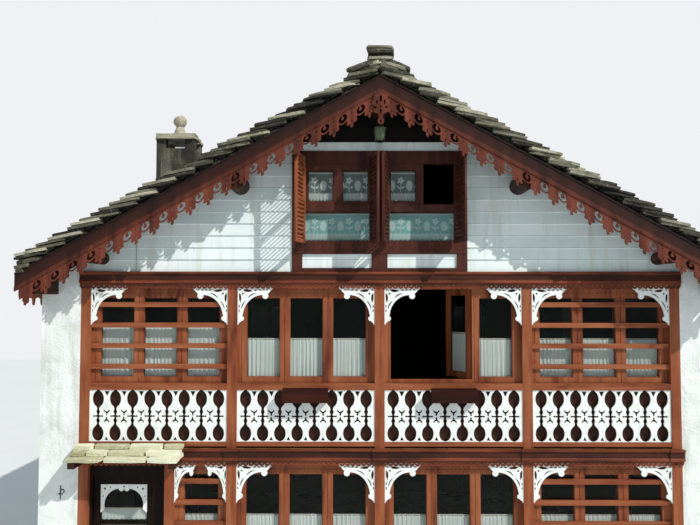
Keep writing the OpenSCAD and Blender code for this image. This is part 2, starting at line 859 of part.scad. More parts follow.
// The hanging fretwork of the right half: n motifs in one board, with its holes
module fringe(n, x0) {
    function place(i) = let (x = x0 + (i + 0.5) * drop_pitch / rise) [x, under(x) - barge_low];
    start = x0 - 20;
    end = x0 + n * drop_pitch / rise;
    difference() {
        polygon([
            [start, under(start) - barge_low + 1],
            [start, under(start) - barge_low - drop_l * 0.24],
            for (i = [0:n - 1]) each motif(drop_pitch, drop_l, place(i), -pitch),
            [end, under(end) - barge_low + 1]
        ]);
        for (i = [0:n - 1])
            translate(place(i)) rotate(-pitch) {
                translate([0, -drop_l * 0.22]) circle(drop_pitch * 0.03);
                translate([0, -drop_l * 0.56]) circle(drop_pitch * 0.038);
                if (i < n - 1) translate([drop_pitch / 2, -drop_l * 0.34]) circle(drop_pitch * 0.035);
            }
    }
}

// The right bargeboard at the front, with its moulding and its hanging fretwork
module bargeboard_half() {
    y0 = -barge_y;
    along_y(y0, y0 + barge_t)
        polygon([
            [0, under(0) - barge_low], [board_x, under(board_x) - barge_low],
            [board_x, under(board_x) + slab_lo * rise], [0, under(0) + slab_lo * rise]
        ]);
    along_y(y0 - bead_out, y0 + 1)
        polygon([
            [0, under(0) - barge_low], [board_x, under(board_x) - barge_low],
            [board_x, under(board_x) - barge_low + bead_h], [0, under(0) - barge_low + bead_h]
        ]);
    along_y(y0, y0 + drop_t) fringe(floor((board_x - 200) * rise / drop_pitch), 145);
}

// The pendant that covers the joint of the two bargeboards
module pendant() {
    along_y(-barge_y, -barge_y + drop_t) translate([0, under(0) - barge_low]) difference() {
        union() {
            polygon([[0, 1], [pendant_w, -pendant_w * slope], [95, -190], [-95, -190],
                [-pendant_w, -pendant_w * slope - 1], [0, -1]]);
            both_ways() {
                translate([66, -205]) circle(38);
                translate([48, -255]) circle(34);
            }
            translate([-50, -270]) square([100, 90]);
            translate([0, -292]) circle(38);
        }
        translate([0, -90]) oval(34, 90);
        both_ways() translate([62, -140]) oval(26, 70);
        translate([0, -180]) circle(14);
        translate([0, -250]) oval(22, 56);
    }
}

pendant_w = 108;

module front_right_bargeboard() color(timber) {
    bargeboard_half();
    pendant();
}

module front_left_bargeboard() color(timber) mirror([1, 0, 0]) bargeboard_half();

module back_right_bargeboard() color(timber) mirror([0, 1, 0]) {
    bargeboard_half();
    pendant();
}

module back_left_bargeboard() color(timber)
    mirror([1, 0, 0]) mirror([0, 1, 0]) bargeboard_half();

purlin_end = barge_y - barge_t;

// The five round purlins, grown by the clearance g
module purlin_logs(g) {
    for (q = [[0, purlin_d], [purlin_x, purlin_d], [-purlin_x, purlin_d],
              [low_purlin_x, low_purlin_d], [-low_purlin_x, low_purlin_d]])
        translate([q[0], -purlin_end, under(q[0]) - q[1] / 2 * rise - seat * rise])
            rotate([-90, 0, 0]) cylinder(d = q[1] + 2 * g, h = 2 * purlin_end);
}

module purlins() color(dark_timber) {
    purlin_logs(0);
    both_sides()
        along_y(-purlin_end, purlin_end)
            polygon([
                [plate_x - plate_w / 2, plate_z], [plate_x + plate_w / 2, plate_z],
                [plate_x + plate_w / 2, under(plate_x + plate_w / 2)],
                [plate_x - plate_w / 2, under(plate_x - plate_w / 2)]
            ]);
}

// Middle of each rafter along Y: one pair at each verge and a row between the gable walls
rafter_y0 = front + 10 + gable_t + rafter_w;
rafter_y1 = back - wall_t - rafter_w;
rafter_ys = [
    -purlin_end + rafter_w / 2,
    for (i = [0:rafter_n - 1]) rafter_y0 + i * (rafter_y1 - rafter_y0) / (rafter_n - 1),
    purlin_end - rafter_w / 2
];

// Distance between the rafter ends and the edge of the roof boards
rafter_in = 60;

module chimney_hole() {
    block(-chimney_x - chimney_s / 2, -chimney_x + chimney_s / 2,
        -chimney_y - chimney_s / 2, -chimney_y + chimney_s / 2, attic_z, apex_z);
}

module right_rafters() color(dark_timber)
    for (y = rafter_ys)
        along_y(y - rafter_w / 2, y + rafter_w / 2) roof_layer(0, board_x - rafter_in, seat, rafter_d);

module left_rafters() color(dark_timber) difference() {
    mirror([1, 0, 0]) right_rafters();
    chimney_hole();
}

module right_roof_boards() color(dark_timber)
    along_y(-purlin_end, purlin_end)
        roof_layer(0, board_x, rafter_d + seat, rafter_d + deck_t);

module left_roof_boards() color(dark_timber) difference() {
    mirror([1, 0, 0]) right_roof_boards();
    chimney_hole();
}

courses = round(roof_x * rise / slab_lap);
course_x = roof_x / courses;
slab_lo = rafter_d + deck_t;

// The stepped stone courses of the right half; each step is one slab thick
module slab_profile() {
    polygon([
        [0, under(0) + (slab_lo + seat) * rise],
        [roof_x, under(roof_x) + (slab_lo + seat) * rise],
        for (i = [courses - 1:-1:0])
            let (xa = (i + 1) * course_x, xb = i * course_x)
                each [
                    [xa, under(xa) + (slab_lo + slab_bed + 2 * slab_t) * rise],
                    [xb, under(xb) + (slab_lo + slab_bed + slab_t) * rise]
                ]
    ]);
}

module right_roof_slabs() color(stone) along_y(-roof_y, roof_y) slab_profile();

module left_roof_slabs() color(stone) difference() {
    mirror([1, 0, 0]) along_y(-roof_y, roof_y) slab_profile();
    chimney_hole();
}

// Two layers of stones laid along the ridge over the top courses
ridge_w = 460;
ridge_t = 112;
ridge_z = apex_z + (slab_lo + slab_bed + slab_t) * rise;

module ridge_stones() color(stone) difference() {
    along_y(-roof_y, roof_y) {
        translate([-ridge_w / 2, ridge_z - ridge_w]) square([ridge_w, ridge_w + ridge_t]);
        translate([-ridge_w * 0.4, ridge_z]) square([ridge_w * 0.8, 2 * ridge_t]);
    }
    along_y(-roof_y - 1, roof_y + 1) {
        slab_profile();
        mirror([1, 0]) slab_profile();
        translate([-ridge_w, ridge_z - 2 * ridge_w]) square([2 * ridge_w, 2 * ridge_w - course_x * slope]);
    }
}

// Chimney

smoke_h = 150;
cap_in = 40;

module chimney() color(plaster) translate([-chimney_x, -chimney_y, 0]) difference() {
    block(-chimney_s / 2, chimney_s / 2, -chimney_s / 2, chimney_s / 2, plinth_h, chimney_top);
    block(-flue_s / 2, flue_s / 2, -flue_s / 2, flue_s / 2, plinth_h + hearth_h, chimney_top + 1);
    block(-chimney_s, chimney_s, -flue_s / 2, flue_s / 2,
        chimney_top - smoke_h, chimney_top + 1);
    block(-flue_s / 2, flue_s / 2, -chimney_s, chimney_s,
        chimney_top - smoke_h, chimney_top + 1);
}

module chimney_cap() color(pale_stone) translate([-chimney_x, -chimney_y, chimney_top]) {
    block(-cap_w / 2, cap_w / 2, -cap_w / 2, cap_w / 2, 0, cap_t);
    block(-cap_w / 2 + cap_in, cap_w / 2 - cap_in, -cap_w / 2 + cap_in, cap_w / 2 - cap_in,
        cap_t, 2 * cap_t);
    translate([0, 0, 2 * cap_t]) cylinder(d1 = cone_d, d2 = cone_d * 0.46, h = cone_h);
    translate([0, 0, 2 * cap_t + cone_h + ball_d * 0.3]) sphere(d = ball_d);
}

// Door

door_x0 = -post_x + post_s / 2;
door_x1 = -door_post_x;
leaf_x0 = door_x0 + door_jamb + door_gap;
leaf_x1 = leaf_x0 + door_w;
leaf_y = front + door_in;
jamb_y0 = front + 90;
jamb_y1 = leaf_y + door_t;
door_foot = plinth_h + door_gap;

module door_frame() color(timber) {
    difference() {
        block(door_x0, door_x1, jamb_y0, jamb_y1, plinth_h, first_z - floor_t);
        block(door_x0 + door_jamb, door_x1 - door_jamb, jamb_y0 - 1, jamb_y1 + 1,
            plinth_h - 1, plinth_h + door_h + 2 * door_gap);
    }
    for (z = [0.12, 0.5, 0.88])
        translate([0, 0, plinth_h + z * door_h])
            block(leaf_x0 - door_gap, leaf_x0 - seat, leaf_y + door_t - 30, leaf_y + door_t - 2,
                -lug_h / 2, lug_h / 2);
}

// Edges of the door's glass, which a thin bar divides
pane_x0 = leaf_x0 + hinge_stile;
pane_x1 = leaf_x1 - lock_stile;
pane_z0 = door_foot + door_panel_h + 2 * door_rail;
pane_z1 = door_foot + door_h - door_rail;
door_bar_z = pane_z1 - 570;
door_bar = 36;

module front_door() color(timber) {
    difference() {
        block(leaf_x0, leaf_x1, leaf_y, leaf_y + door_t, door_foot, door_foot + door_h);
        block(pane_x0, pane_x1, leaf_y - 1, leaf_y + door_t + 1, pane_z0, pane_z1);
        block(pane_x0 - bead, pane_x1 + bead, leaf_y - 1, leaf_y + bead,
            pane_z0 - bead, pane_z1 + bead);
        difference() {
            block(pane_x0, pane_x1, leaf_y - 1, leaf_y + bead,
                door_foot + door_rail, door_foot + door_rail + door_panel_h);
            block(pane_x0 + 45, pane_x1 - 45, leaf_y - 2, leaf_y + bead + 1,
                door_foot + door_rail + 45, door_foot + door_rail + door_panel_h - 45);
        }
        block(pane_x1 + 60, pane_x1 + 66, leaf_y - 1, leaf_y + 6, door_foot - 1, door_foot + door_h + 1);
    }
    block(pane_x0, pane_x1, leaf_y + bead, door_glass_y, door_bar_z, door_bar_z + door_bar);
}

door_glass_y = leaf_y + 22;

module door_glass() color(pane)
    block(pane_x0, pane_x1, door_glass_y, door_glass_y + glass_t, pane_z0, pane_z1);

// Two small brackets and a keystone in the upper corners of the door's glass
module door_fretwork() color(white) {
    w = pane_x1 - pane_x0;
    bw = w * 0.40;
    translate([pane_x0, leaf_y + 1, pane_z1]) fret_corner(bw, bw * 1.5);
    translate([pane_x1, leaf_y + 1, pane_z1]) mirror([1, 0, 0]) fret_corner(bw, bw * 1.5);
    translate([(pane_x0 + pane_x1) / 2, 0, pane_z1])
        along_y(leaf_y + 1, leaf_y + bead) difference() {
            union() {
                translate([-w * 0.115, -60]) square([w * 0.23, 60]);
                both_ways() translate([w * 0.06, -62]) circle(w * 0.055);
            }
            translate([0, -32]) circle(14);
        }
}

// A corner with a round inner edge, a slot and a hole
module fret_corner(w, h) {
    along_y(0, bead - 1) difference() {
        polygon([[0, 0], [w, 0], [w, -0.16 * h], [0.16 * w, -0.92 * h], [0, -h]]);
        translate([w * 1.06, -0.72 * h]) circle(w * 0.86, $fn = 96);
        translate([0.22 * w, -0.15 * h]) circle(0.055 * w);
        translate([0.52 * w, -0.10 * h]) circle(0.04 * w);
        translate([0.12 * w, -0.42 * h]) circle(0.035 * w);
    }
}

// The lace and the curtain behind the door's glass
module door_curtain() color(lace) {
    y0 = door_glass_y + glass_t + seat;
    block(pane_x0 + 5, pane_x1 - 5, y0, y0 + curtain_t, pane_z0 + 5, door_bar_z + 250);
}

module door_handle() color(iron) {
    x = leaf_x1 - 95;
    z = door_foot + 1030;
    block(x - 18, x + 18, leaf_y - 6, leaf_y, z - 110, z + 70);
    translate([x, leaf_y - 6, z]) rotate([90, 0, 0]) cylinder(d = 20, h = 45);
    block(x - 120, x + 10, leaf_y - 57, leaf_y - 41, z - 10, z + 10);
}

canopy_x0 = -inner_x - 40;
canopy_top = first_z + 90;
canopy_fall = 20;
bearer_h = 100;

module door_canopy() color(pale_stone)
    along_x(canopy_x0, canopy_x0 + canopy_w) {
        y1 = front - fascia_t - mould_out;
        d = canopy_out - fascia_t - mould_out;
        for (i = [0:2])
            let (y = y1 - d * (i + 1) / 3, z = canopy_top - canopy_t * i)
                polygon([
                    [y1, z - canopy_t], [y, z - canopy_t - canopy_fall],
                    [y, z - canopy_fall], [y1, z]
                ]);
    }

module canopy_bearers() color(dark_timber)
    for (x = [canopy_x0 + 60, canopy_x0 + canopy_w - 150])
        along_x(x, x + 90) {
            y0 = front - fascia_t - mould_out;
            y1 = front - fascia_t - mould_out / 2 - seat;
            y2 = front - canopy_out + 40;
            z = canopy_top - 3 * canopy_t;
            fall = canopy_fall / (canopy_out - fascia_t - mould_out);
            polygon([
                [y1, z - bearer_h - seat], [y2, z - bearer_h - seat],
                [y2, z - seat - (y0 - y2) * fall], [y0, z - seat], [y1, z - seat]
            ]);
        }

module door_step() color(stone)
    block(door_x0, door_x1, front - step_d, front, 0, plinth_h * 2 / 3);

// Fittings

lantern_d = 180;
lantern_body = 175;

// A hanging lantern: stem, cap, six bars, a rim and a dished foot; its glass is clear
module lantern() color(iron) translate([0, front - 250, 0]) {
    z = under(0) - (purlin_d / 2 + seat) * rise - purlin_d / 2 - seat;
    cap_z = z - 175;
    translate([0, 0, cap_z + 45]) cylinder(d = 12, h = z - cap_z - 45);
    translate([0, 0, cap_z]) cylinder(d1 = lantern_d * 1.1, d2 = lantern_d * 0.25, h = 50);
    translate([0, 0, cap_z - 12]) cylinder(d = lantern_d, h = 13);
    for (i = [0:5])
        rotate(30 + i * 60) translate([lantern_d / 2 - 10, 0, cap_z - lantern_body - 1])
            cylinder(d = 9, h = lantern_body, $fn = 24);
    translate([0, 0, cap_z - lantern_body - 10]) cylinder(d = lantern_d, h = 12);
    translate([0, 0, cap_z - lantern_body - 34]) cylinder(d1 = lantern_d * 0.3, d2 = lantern_d, h = 24);
}

box_w = 640;
box_d = 180;
box_h = 190;

module flower_boxes() color(timber)
    for (x = [-bay / 2, bay / 2])
        translate([x - box_w / 2, front - box_d, first_z + rail_h - sill_h - box_h + 30]) difference() {
            cube([box_w, box_d, box_h]);
            translate([20, 20, 20]) cube([box_w - 40, box_d - 40, box_h]);
        }

// Café curtains and lace, each a thin closed sheet behind its pane
curtain_t = 12;
curtain_y = frame_y + frame_t + seat;

module curtain_row(x0, w, z, n, h) translate([x0, 0, z])
    for (x = pane_x(w, n))
        block(x - 15, x + pane_size(w, n) + 15, curtain_y, curtain_y + curtain_t,
            win_z + 40, win_z + sash_rail + h);

module first_curtains() color(lace) {
    curtain_row(bays[0][0], clear_w, first_z, 3, tall_cafe_h);
    curtain_row(bays[1][0], clear_w, first_z, 3, cafe_h);
    curtain_row(bays[3][0], clear_w, first_z, 3, cafe_h);
}

module ground_curtains() color(lace)
    for (b = ground_bays) curtain_row(b[0], b[1], plinth_h, lights(b[1]), cafe_h);

module attic_curtains() color(lace)
    for (i = [0:4])
        let (p = attic_panes[i], y = attic_glass_y + glass_t + seat)
            block(p[0], p[1], y, y + curtain_t, attic_z + p[2], attic_z + p[3]);

stone_plinth();
ground_floor();
first_floor();
attic_floor();
left_wall();
right_wall();
back_wall();
wall_windows();
wall_glass();
gallery_posts();
first_floor_band();
attic_band();
first_balustrades();
ground_balustrades();
first_parapets();
ground_parapets();
lattices();
first_window_frames();
ground_window_frames();
open_window();
first_glass();
ground_glass();
corner_brackets();
gable_boarding();
gable_peak();
attic_window_frame();
attic_glass();
attic_shutter_1();
attic_shutter_2();
attic_shutter_3();
attic_shutter_4();
front_left_bargeboard();
front_right_bargeboard();
back_left_bargeboard();
back_right_bargeboard();
purlins();
left_rafters();
right_rafters();
left_roof_boards();
right_roof_boards();
left_roof_slabs();
right_roof_slabs();
ridge_stones();
chimney();
chimney_cap();
door_frame();
front_door();
door_glass();
door_fretwork();
door_curtain();
door_handle();
door_canopy();
canopy_bearers();
door_step();
lantern();
flower_boxes();
first_curtains();
ground_curtains();
attic_curtains();
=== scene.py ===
# Looks of the alpine chalet: camera, light, finishes and the pieces that need a modelled surface.
import math
import random

import bmesh
import bpy
from mathutils import Euler, Matrix, Vector, noise


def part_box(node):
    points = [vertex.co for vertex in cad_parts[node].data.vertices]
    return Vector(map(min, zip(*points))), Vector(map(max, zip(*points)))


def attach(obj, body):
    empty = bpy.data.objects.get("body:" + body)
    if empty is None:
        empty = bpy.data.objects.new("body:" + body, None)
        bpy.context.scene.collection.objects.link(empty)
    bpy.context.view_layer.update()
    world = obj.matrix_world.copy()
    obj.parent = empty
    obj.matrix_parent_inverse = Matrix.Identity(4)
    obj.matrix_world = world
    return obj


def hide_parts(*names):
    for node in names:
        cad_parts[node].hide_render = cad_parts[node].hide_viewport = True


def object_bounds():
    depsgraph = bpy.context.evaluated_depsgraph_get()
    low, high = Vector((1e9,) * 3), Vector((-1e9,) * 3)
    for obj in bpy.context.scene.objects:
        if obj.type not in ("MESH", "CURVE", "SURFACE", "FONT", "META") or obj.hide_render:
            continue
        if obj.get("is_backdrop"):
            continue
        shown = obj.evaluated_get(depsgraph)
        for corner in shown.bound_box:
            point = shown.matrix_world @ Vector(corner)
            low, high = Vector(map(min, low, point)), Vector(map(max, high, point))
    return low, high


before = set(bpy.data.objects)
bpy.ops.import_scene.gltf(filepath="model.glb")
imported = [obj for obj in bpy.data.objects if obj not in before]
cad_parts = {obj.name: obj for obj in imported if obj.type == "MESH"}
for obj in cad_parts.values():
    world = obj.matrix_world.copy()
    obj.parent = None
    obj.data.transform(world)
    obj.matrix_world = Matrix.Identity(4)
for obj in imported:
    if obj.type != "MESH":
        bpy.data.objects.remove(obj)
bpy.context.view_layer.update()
print("frame loaded:", len(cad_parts), "nodes")


# Camera, light and floor

cameraSettings = {
    "place": (-0.367, -14.752, 4.879),
    "tiltUp": 2.746,  # degrees
    "turnRight": -0.299,
    "roll": -0.037,
    "focalPixels": 750,  # focal length in pixels of the 700 px wide picture
    "pictureWidth": 700,
}

lightSettings = {
    "skyColour": (0.80, 0.93, 1.0, 1),
    "skyStrength": 0.50,
    "sunColour": (1.0, 0.965, 0.90),
    "sunStrength": 3.3,
    "sunTurn": (50, 0, 50),  # degrees; from above, in front and to the right
    "sunAngle": 0.8,
    "floorColour": (0.74, 0.75, 0.75, 1),
    "seenColour": (0.86, 0.88, 0.90, 1),
}


def addCamera(s):
    bpy.ops.object.camera_add(location=s["place"])
    camera = bpy.context.object
    camera.name = "photoCamera"
    camera.rotation_euler = Euler(
        (math.radians(90 + s["tiltUp"]), math.radians(s["roll"]), math.radians(-s["turnRight"])), "XYZ"
    )
    camera.data.sensor_width = 36
    camera.data.lens = 36 * s["focalPixels"] / s["pictureWidth"]
    camera.data.clip_end = 200
    bpy.context.scene.camera = camera


# Shader graphs written as expressions

class Socket:
    # One output of a shader graph; arithmetic on it adds Math nodes
    def __init__(self, graph, out):
        self.graph, self.out = graph, out

    def maths(self, operation, *others):
        return self.graph.node("ShaderNodeMath", {"operation": operation}, self, *others)

    def __add__(self, other):
        return self.maths("ADD", other)

    def __sub__(self, other):
        return self.maths("SUBTRACT", other)

    def __mul__(self, other):
        return self.maths("MULTIPLY", other)

    def __truediv__(self, other):
        return self.maths("DIVIDE", other)

    def __rsub__(self, other):
        return self.graph.node("ShaderNodeMath", {"operation": "SUBTRACT"}, other, self)

    __radd__, __rmul__ = __add__, __mul__

    def larger(self, other):
        return self.maths("MAXIMUM", other)

    def above(self, level, soft=0.05):
        # 0 below the level, 1 above it, with a soft edge
        return ((self - (level - soft)) / (2 * soft)).maths("MINIMUM", 1.0).larger(0.0)

    def below(self, level, soft=0.05):
        return 1.0 - self.above(level, soft)


class Graph:
    # The node graph of one material
    def __init__(self, name, **shader):
        self.material = bpy.data.materials.new(name)
        self.material.use_nodes = True
        self.tree = self.material.node_tree
        self.shader = self.tree.nodes["Principled BSDF"]
        for socket, value in shader.items():
            self.shader.inputs[socket].default_value = value
        self.place = self.node("ShaderNodeTexCoord", out="Object")

    def node(self, kind, settings=None, *values, out=0, **named):
        made = self.tree.nodes.new(kind)
        for key, value in (settings or {}).items():
            if key == "stops":
                ramp = made.color_ramp.elements
                while len(ramp) < len(value):
                    ramp.new(0.5)
                for stop, (position, colour) in zip(ramp, value):
                    stop.position, stop.color = position, colour
            else:
                setattr(made, key, value)
        self.feed(made, *enumerate(values), *named.items())
        return Socket(self, made.outputs[out])

    def feed(self, made, *values):
        for index, value in values:
            if isinstance(value, Socket):
                self.tree.links.new(value.out, made.inputs[index])
            else:
                made.inputs[index].default_value = value

    def part(self, vector, axis):
        return self.node("ShaderNodeSeparateXYZ", None, vector, out="XYZ".index(axis))

    def axis(self, name):
        return self.part(self.place, name)

    def stretched(self, *scale):
        return self.node("ShaderNodeMapping", None, self.place, (0, 0, 0), (0, 0, 0), scale)

    def attribute(self, name):
        return self.node("ShaderNodeAttribute", {"attribute_name": name}, out="Fac")

    def noise(self, scale, detail, rough=0.55, distortion=0.0, vector=None):
        return self.node("ShaderNodeTexNoise", None, Vector=vector or self.place, Scale=scale, Detail=detail,
                         Roughness=rough, Distortion=distortion)

    def grain(self, along, squeeze, scale, detail, rough, distortion=0.0):
        # Noise that runs in streaks along one axis
        size = self.stretched(*(squeeze if axis == along else 1.0 for axis in "XYZ"))
        return self.noise(scale, detail, rough, distortion, size)

    def cells(self, vector, scale, feature, out="Distance"):
        return self.node("ShaderNodeTexVoronoi", {"feature": feature}, Vector=vector, Scale=scale, out=out)

    def mix(self, factor, a, b):
        made = self.tree.nodes.new("ShaderNodeMix")
        made.data_type = "RGBA"
        self.feed(made, (0, factor), (6, a), (7, b))
        return Socket(self, made.outputs[2])

    def ramp(self, factor, *stops):
        return self.node("ShaderNodeValToRGB", {"stops": stops}, factor)

    def finish(self, colour, rough=None, relief=None, strength=0.4, distance=0.003, alpha=None):
        # Links the colour, and where they are given the roughness, the alpha and a bump from the relief
        links = {"Base Color": colour, "Roughness": rough, "Alpha": alpha}
        if relief:
            links["Normal"] = self.node("ShaderNodeBump", None, Strength=strength, Distance=distance,
                                        Height=relief)
        for socket, value in links.items():
            if value:
                self.tree.links.new(value.out, self.shader.inputs[socket])
        return self.material


def rgb(*c):
    # A colour as it looks on screen (0 to 255), turned into shader values
    return tuple(((v / 255) / 12.92 if v < 10.3 else ((v / 255 + 0.055) / 1.055) ** 2.4) for v in c) + (1,)


# Finishes

# the first look is the red-brown paint in sun; the other three are darker copies of it, painted shade for the
# bands, the bargeboards and the attic window with its shutters
paintLook = {"light": rgb(160, 96, 62), "main": rgb(138, 73, 45), "deep": rgb(92, 44, 28)}
bandShadeLook = {"light": rgb(136, 70, 46), "main": rgb(98, 46, 30), "deep": rgb(60, 27, 17)}
bargeboardShadeLook = {"light": rgb(122, 62, 45), "main": rgb(94, 43, 30), "deep": rgb(60, 26, 18)}
shadedLook = {"light": rgb(88, 45, 33), "main": rgb(68, 32, 23), "deep": rgb(44, 20, 14)}
roofLine = {"apex": 7.7332, "slope": 0.5475}  # of the rafters' undersides
# where the paint is darkened as painted shade
paintedShadeZones = {
    "panels": -3.925,  # Y of the panels behind the pierced boards
    "moulding": (-0.025, 0.004), "board": (0.040, 0.004), "boardTop": (0.14, 0.08),  # over the roof line
    "foot": 0.240, "storey": 2.510, "fascia": (0.9515, 0.984),  # the fascia's ends in shares of a storey
}


def shadeOfParapet(g):
    # painted shade on the panels that lie back behind the pierced boards: 1 on these panels, 0 on the rails
    # in front of them
    return g.axis("Y").above(paintedShadeZones["panels"], 0.004)


def shadeOfBargeboard(g):
    # painted shade under the overhanging roof stones: 0 on the hanging fretwork, 0.4 on the moulding, and up
    # to 1 at the top of the board
    over = g.axis("Z") - (roofLine["apex"] - g.axis("X").maths("ABSOLUTE") * roofLine["slope"])
    moulding, board, top = (over.above(*paintedShadeZones[name]) for name in ("moulding", "board", "boardTop"))
    return moulding * 0.40 + board * 0.45 + top * 0.20


def shadeOfBand(g):
    # the fascias are darker, partly darker paint and partly painted shade under the overhanging mouldings and
    # the valances: up to 0.8 on the fascias, 0 on the mouldings and the valances; the bands repeat with each
    # storey
    inStorey = ((g.axis("Z") - paintedShadeZones["foot"]) / paintedShadeZones["storey"]).maths("FRACT")
    low, high = paintedShadeZones["fascia"]
    return inStorey.above(low, 0.002) * inStorey.below(high, 0.002) * 0.8


def paintedWood(name, along, look, fade=0.5, zone=None, shadeColour=None):
    g = Graph(name, **{"Specular IOR Level": 0.22})
    grain = g.grain(along, 0.035, 90, 6, 0.6)
    wide = g.grain(along, 0.12, 7, 3, 0.5, 0.4)
    colour = g.ramp(wide, (0.30, look["deep"]), (0.46, look["main"]), (0.68, look["light"]))
    colour = g.mix(grain.above(0.60, 0.08) * 0.45, colour, look["deep"])
    colour = g.mix(g.noise(2.1, 4, 0.6).above(0.60, 0.12) * fade, colour, look["light"])
    # the zone is painted shade: the colour goes darker where the part lies in shade
    if zone:
        colour = g.mix(zone(g) * 0.9, colour, shadeColour)
    return g.finish(colour, 0.42 + 0.30 * grain, grain * 0.7 + wide * 0.6, 0.35)


def whitePaintedWood():
    g = Graph("whiteFretworkPaint")
    grain = g.grain("Z", 0.05, 80, 5, 0.6)
    dirt = g.noise(5.5, 5, 0.65)
    colour = g.ramp(dirt, (0.30, rgb(222, 226, 220)), (0.50, rgb(240, 244, 242)), (0.75, rgb(248, 251, 250)))
    colour = g.mix(grain.above(0.68) * 0.35, colour, rgb(176, 172, 156))
    return g.finish(colour, 0.40 + 0.25 * grain, grain, 0.25, 0.002)


# lap is the visible height of a board; the one upright joint lies in the lowest rows
boardLook = {"lap": 0.174, "foot": 5.26, "jointX": -3.50, "jointTop": 5.90}


def gableBoards(s):
    g = Graph("whiteGableBoards")
    x, z = g.axis("X"), g.axis("Z")
    rows = (z - s["foot"]) / s["lap"]
    ownRow = g.node("ShaderNodeCombineXYZ", None, x * 0.25, rows.maths("FLOOR") * 7.3, 0.0)
    tone = g.noise(3.0, 3, 0.5, vector=ownRow)
    grain = g.grain("X", 0.03, 60, 5, 0.6)
    streaks = g.grain("Z", 0.10, 9, 4, 0.6)
    colour = g.ramp(tone, (0.3, rgb(218, 232, 232)), (0.55, rgb(235, 245, 246)), (0.8, rgb(246, 251, 252)))
    colour = g.mix(streaks.above(0.60, 0.10) * 0.45, colour, rgb(196, 198, 182))
    # a painted shadow line under the lower edge of each board
    colour = g.mix(rows.maths("FRACT").below(0.035, 0.02) * 0.7, colour, rgb(112, 118, 112))
    near = (x - s["jointX"]).maths("ABSOLUTE").below(0.004, 0.002)
    gap = near * z.below(s["jointTop"], 0.002)
    colour = g.mix(gap * 0.8, colour, rgb(96, 96, 88))
    return g.finish(colour, 0.5 + 0.2 * grain, grain * 0.5 + tone * 0.4 - gap * 1.5, 0.3)


roomShade = {"halfWidth": 4.285, "front": -3.84, "back": 3.445, "insideShade": rgb(70, 52, 40)}


def plaster(name, tones, room=None):
    g = Graph(name)
    trowel = g.noise(3.2, 6, 0.62, 0.6)
    rough = g.noise(26, 6, 0.7)
    colour = g.ramp(trowel, *zip((0.32, 0.48, 0.68), tones))
    colour = g.mix(g.grain("Z", 0.08, 5.0, 4, 0.6).above(0.62, 0.10) * 0.5, colour, rgb(178, 178, 160))
    damp = (g.axis("Z") / 1.1 + (rough - 0.5) * 0.8).below(0.55, 0.45)
    colour = g.mix(damp * 0.6, colour, rgb(150, 147, 130))
    chips = rough.above(0.70, 0.02)
    colour = g.mix(chips * 0.5, colour, rgb(150, 146, 132))
    if room:
        # the inner faces of the walls are painted dark: painted shade, so that the rooms look dim through the
        # windows
        x, y = g.axis("X").maths("ABSOLUTE"), g.axis("Y")
        inside = (x.below(room["halfWidth"], 0.002) * y.above(room["front"], 0.01)
                  * y.below(room["back"], 0.002))
        colour = g.mix(inside, colour, room["insideShade"])
    relief = trowel * 1.6 + rough * 0.8 + g.noise(140, 3, 0.6) * 0.12 - chips * 0.3
    return g.finish(colour, 0.78 + 0.18 * rough, relief, 0.75, 0.02)


def rubble():
    g = Graph("rubbleStone")
    warped = g.node("ShaderNodeVectorMath", {"operation": "ADD"}, g.stretched(1, 1, 1.8), g.noise(3, 2))
    edge = g.cells(warped, 3.4, "DISTANCE_TO_EDGE")
    tone = g.part(g.cells(warped, 3.4, "F1", "Color"), "X")
    speck = g.noise(45, 6, 0.7)
    colour = g.ramp(tone, (0.1, rgb(98, 93, 84)), (0.5, rgb(134, 129, 114)), (0.9, rgb(160, 153, 132)))
    colour = g.mix(speck.above(0.55, 0.2) * 0.4, colour, rgb(84, 82, 72))
    colour = g.mix(edge.below(0.035, 0.02) * 0.85, colour, rgb(172, 167, 152))
    return g.finish(colour, 0.75 + 0.2 * speck, edge.maths("MINIMUM", 0.12) * 6 + speck * 0.3, 0.8, 0.02)


def splitStone(name, mossAmount, sideShadeAmount, dark, main, light, moss, lichen):
    g = Graph(name)
    top, own = g.attribute("stoneTop"), g.attribute("stoneTone")
    layers = g.noise(6, 6, 0.65, 0.5, g.stretched(1, 1, 9))
    fine = g.noise(55, 6, 0.7)
    blotch = g.noise(4.3, 5, 0.6)
    colour = g.ramp(own * 0.7 + layers * 0.5 - 0.05, (0.20, dark), (0.50, main), (0.85, light))
    colour = g.mix(fine.above(0.56, 0.12) * 0.4, colour, dark)
    colour = g.mix(blotch.above(0.57, 0.07) * mossAmount, colour, moss)
    patches = g.noise(17, 6, 0.68, 0.8).above(0.57, 0.04) * blotch.above(0.44, 0.1)
    colour = g.mix(patches * 0.6, colour, lichen)
    # painted shade on the faces that don't face up, left off most of the palest stones
    sideShadeMask = top.below(0.6, 0.1) * (1.0 - own.above(0.60, 0.12) * 0.85)  # the palest stones have pale edges
    colour = g.mix(sideShadeMask * sideShadeAmount, colour, dark)
    return g.finish(colour, 0.72 + 0.25 * fine, layers * 0.9 + fine * 0.6, 0.7, 0.012)


def plainWood(name, along, dark, main, light, roughness=0.62):
    g = Graph(name, **{"Specular IOR Level": 0.15})
    grain = g.grain(along, 0.03, 55, 6, 0.62, 0.3)
    wide = g.grain(along, 0.08, 8, 4, 0.55, 0.6)
    colour = g.ramp(wide * 0.6 + grain * 0.4, (0.34, dark), (0.50, main), (0.66, light))
    return g.finish(colour, roughness - 0.12 + 0.25 * grain, grain * 0.7 + wide * 0.4)


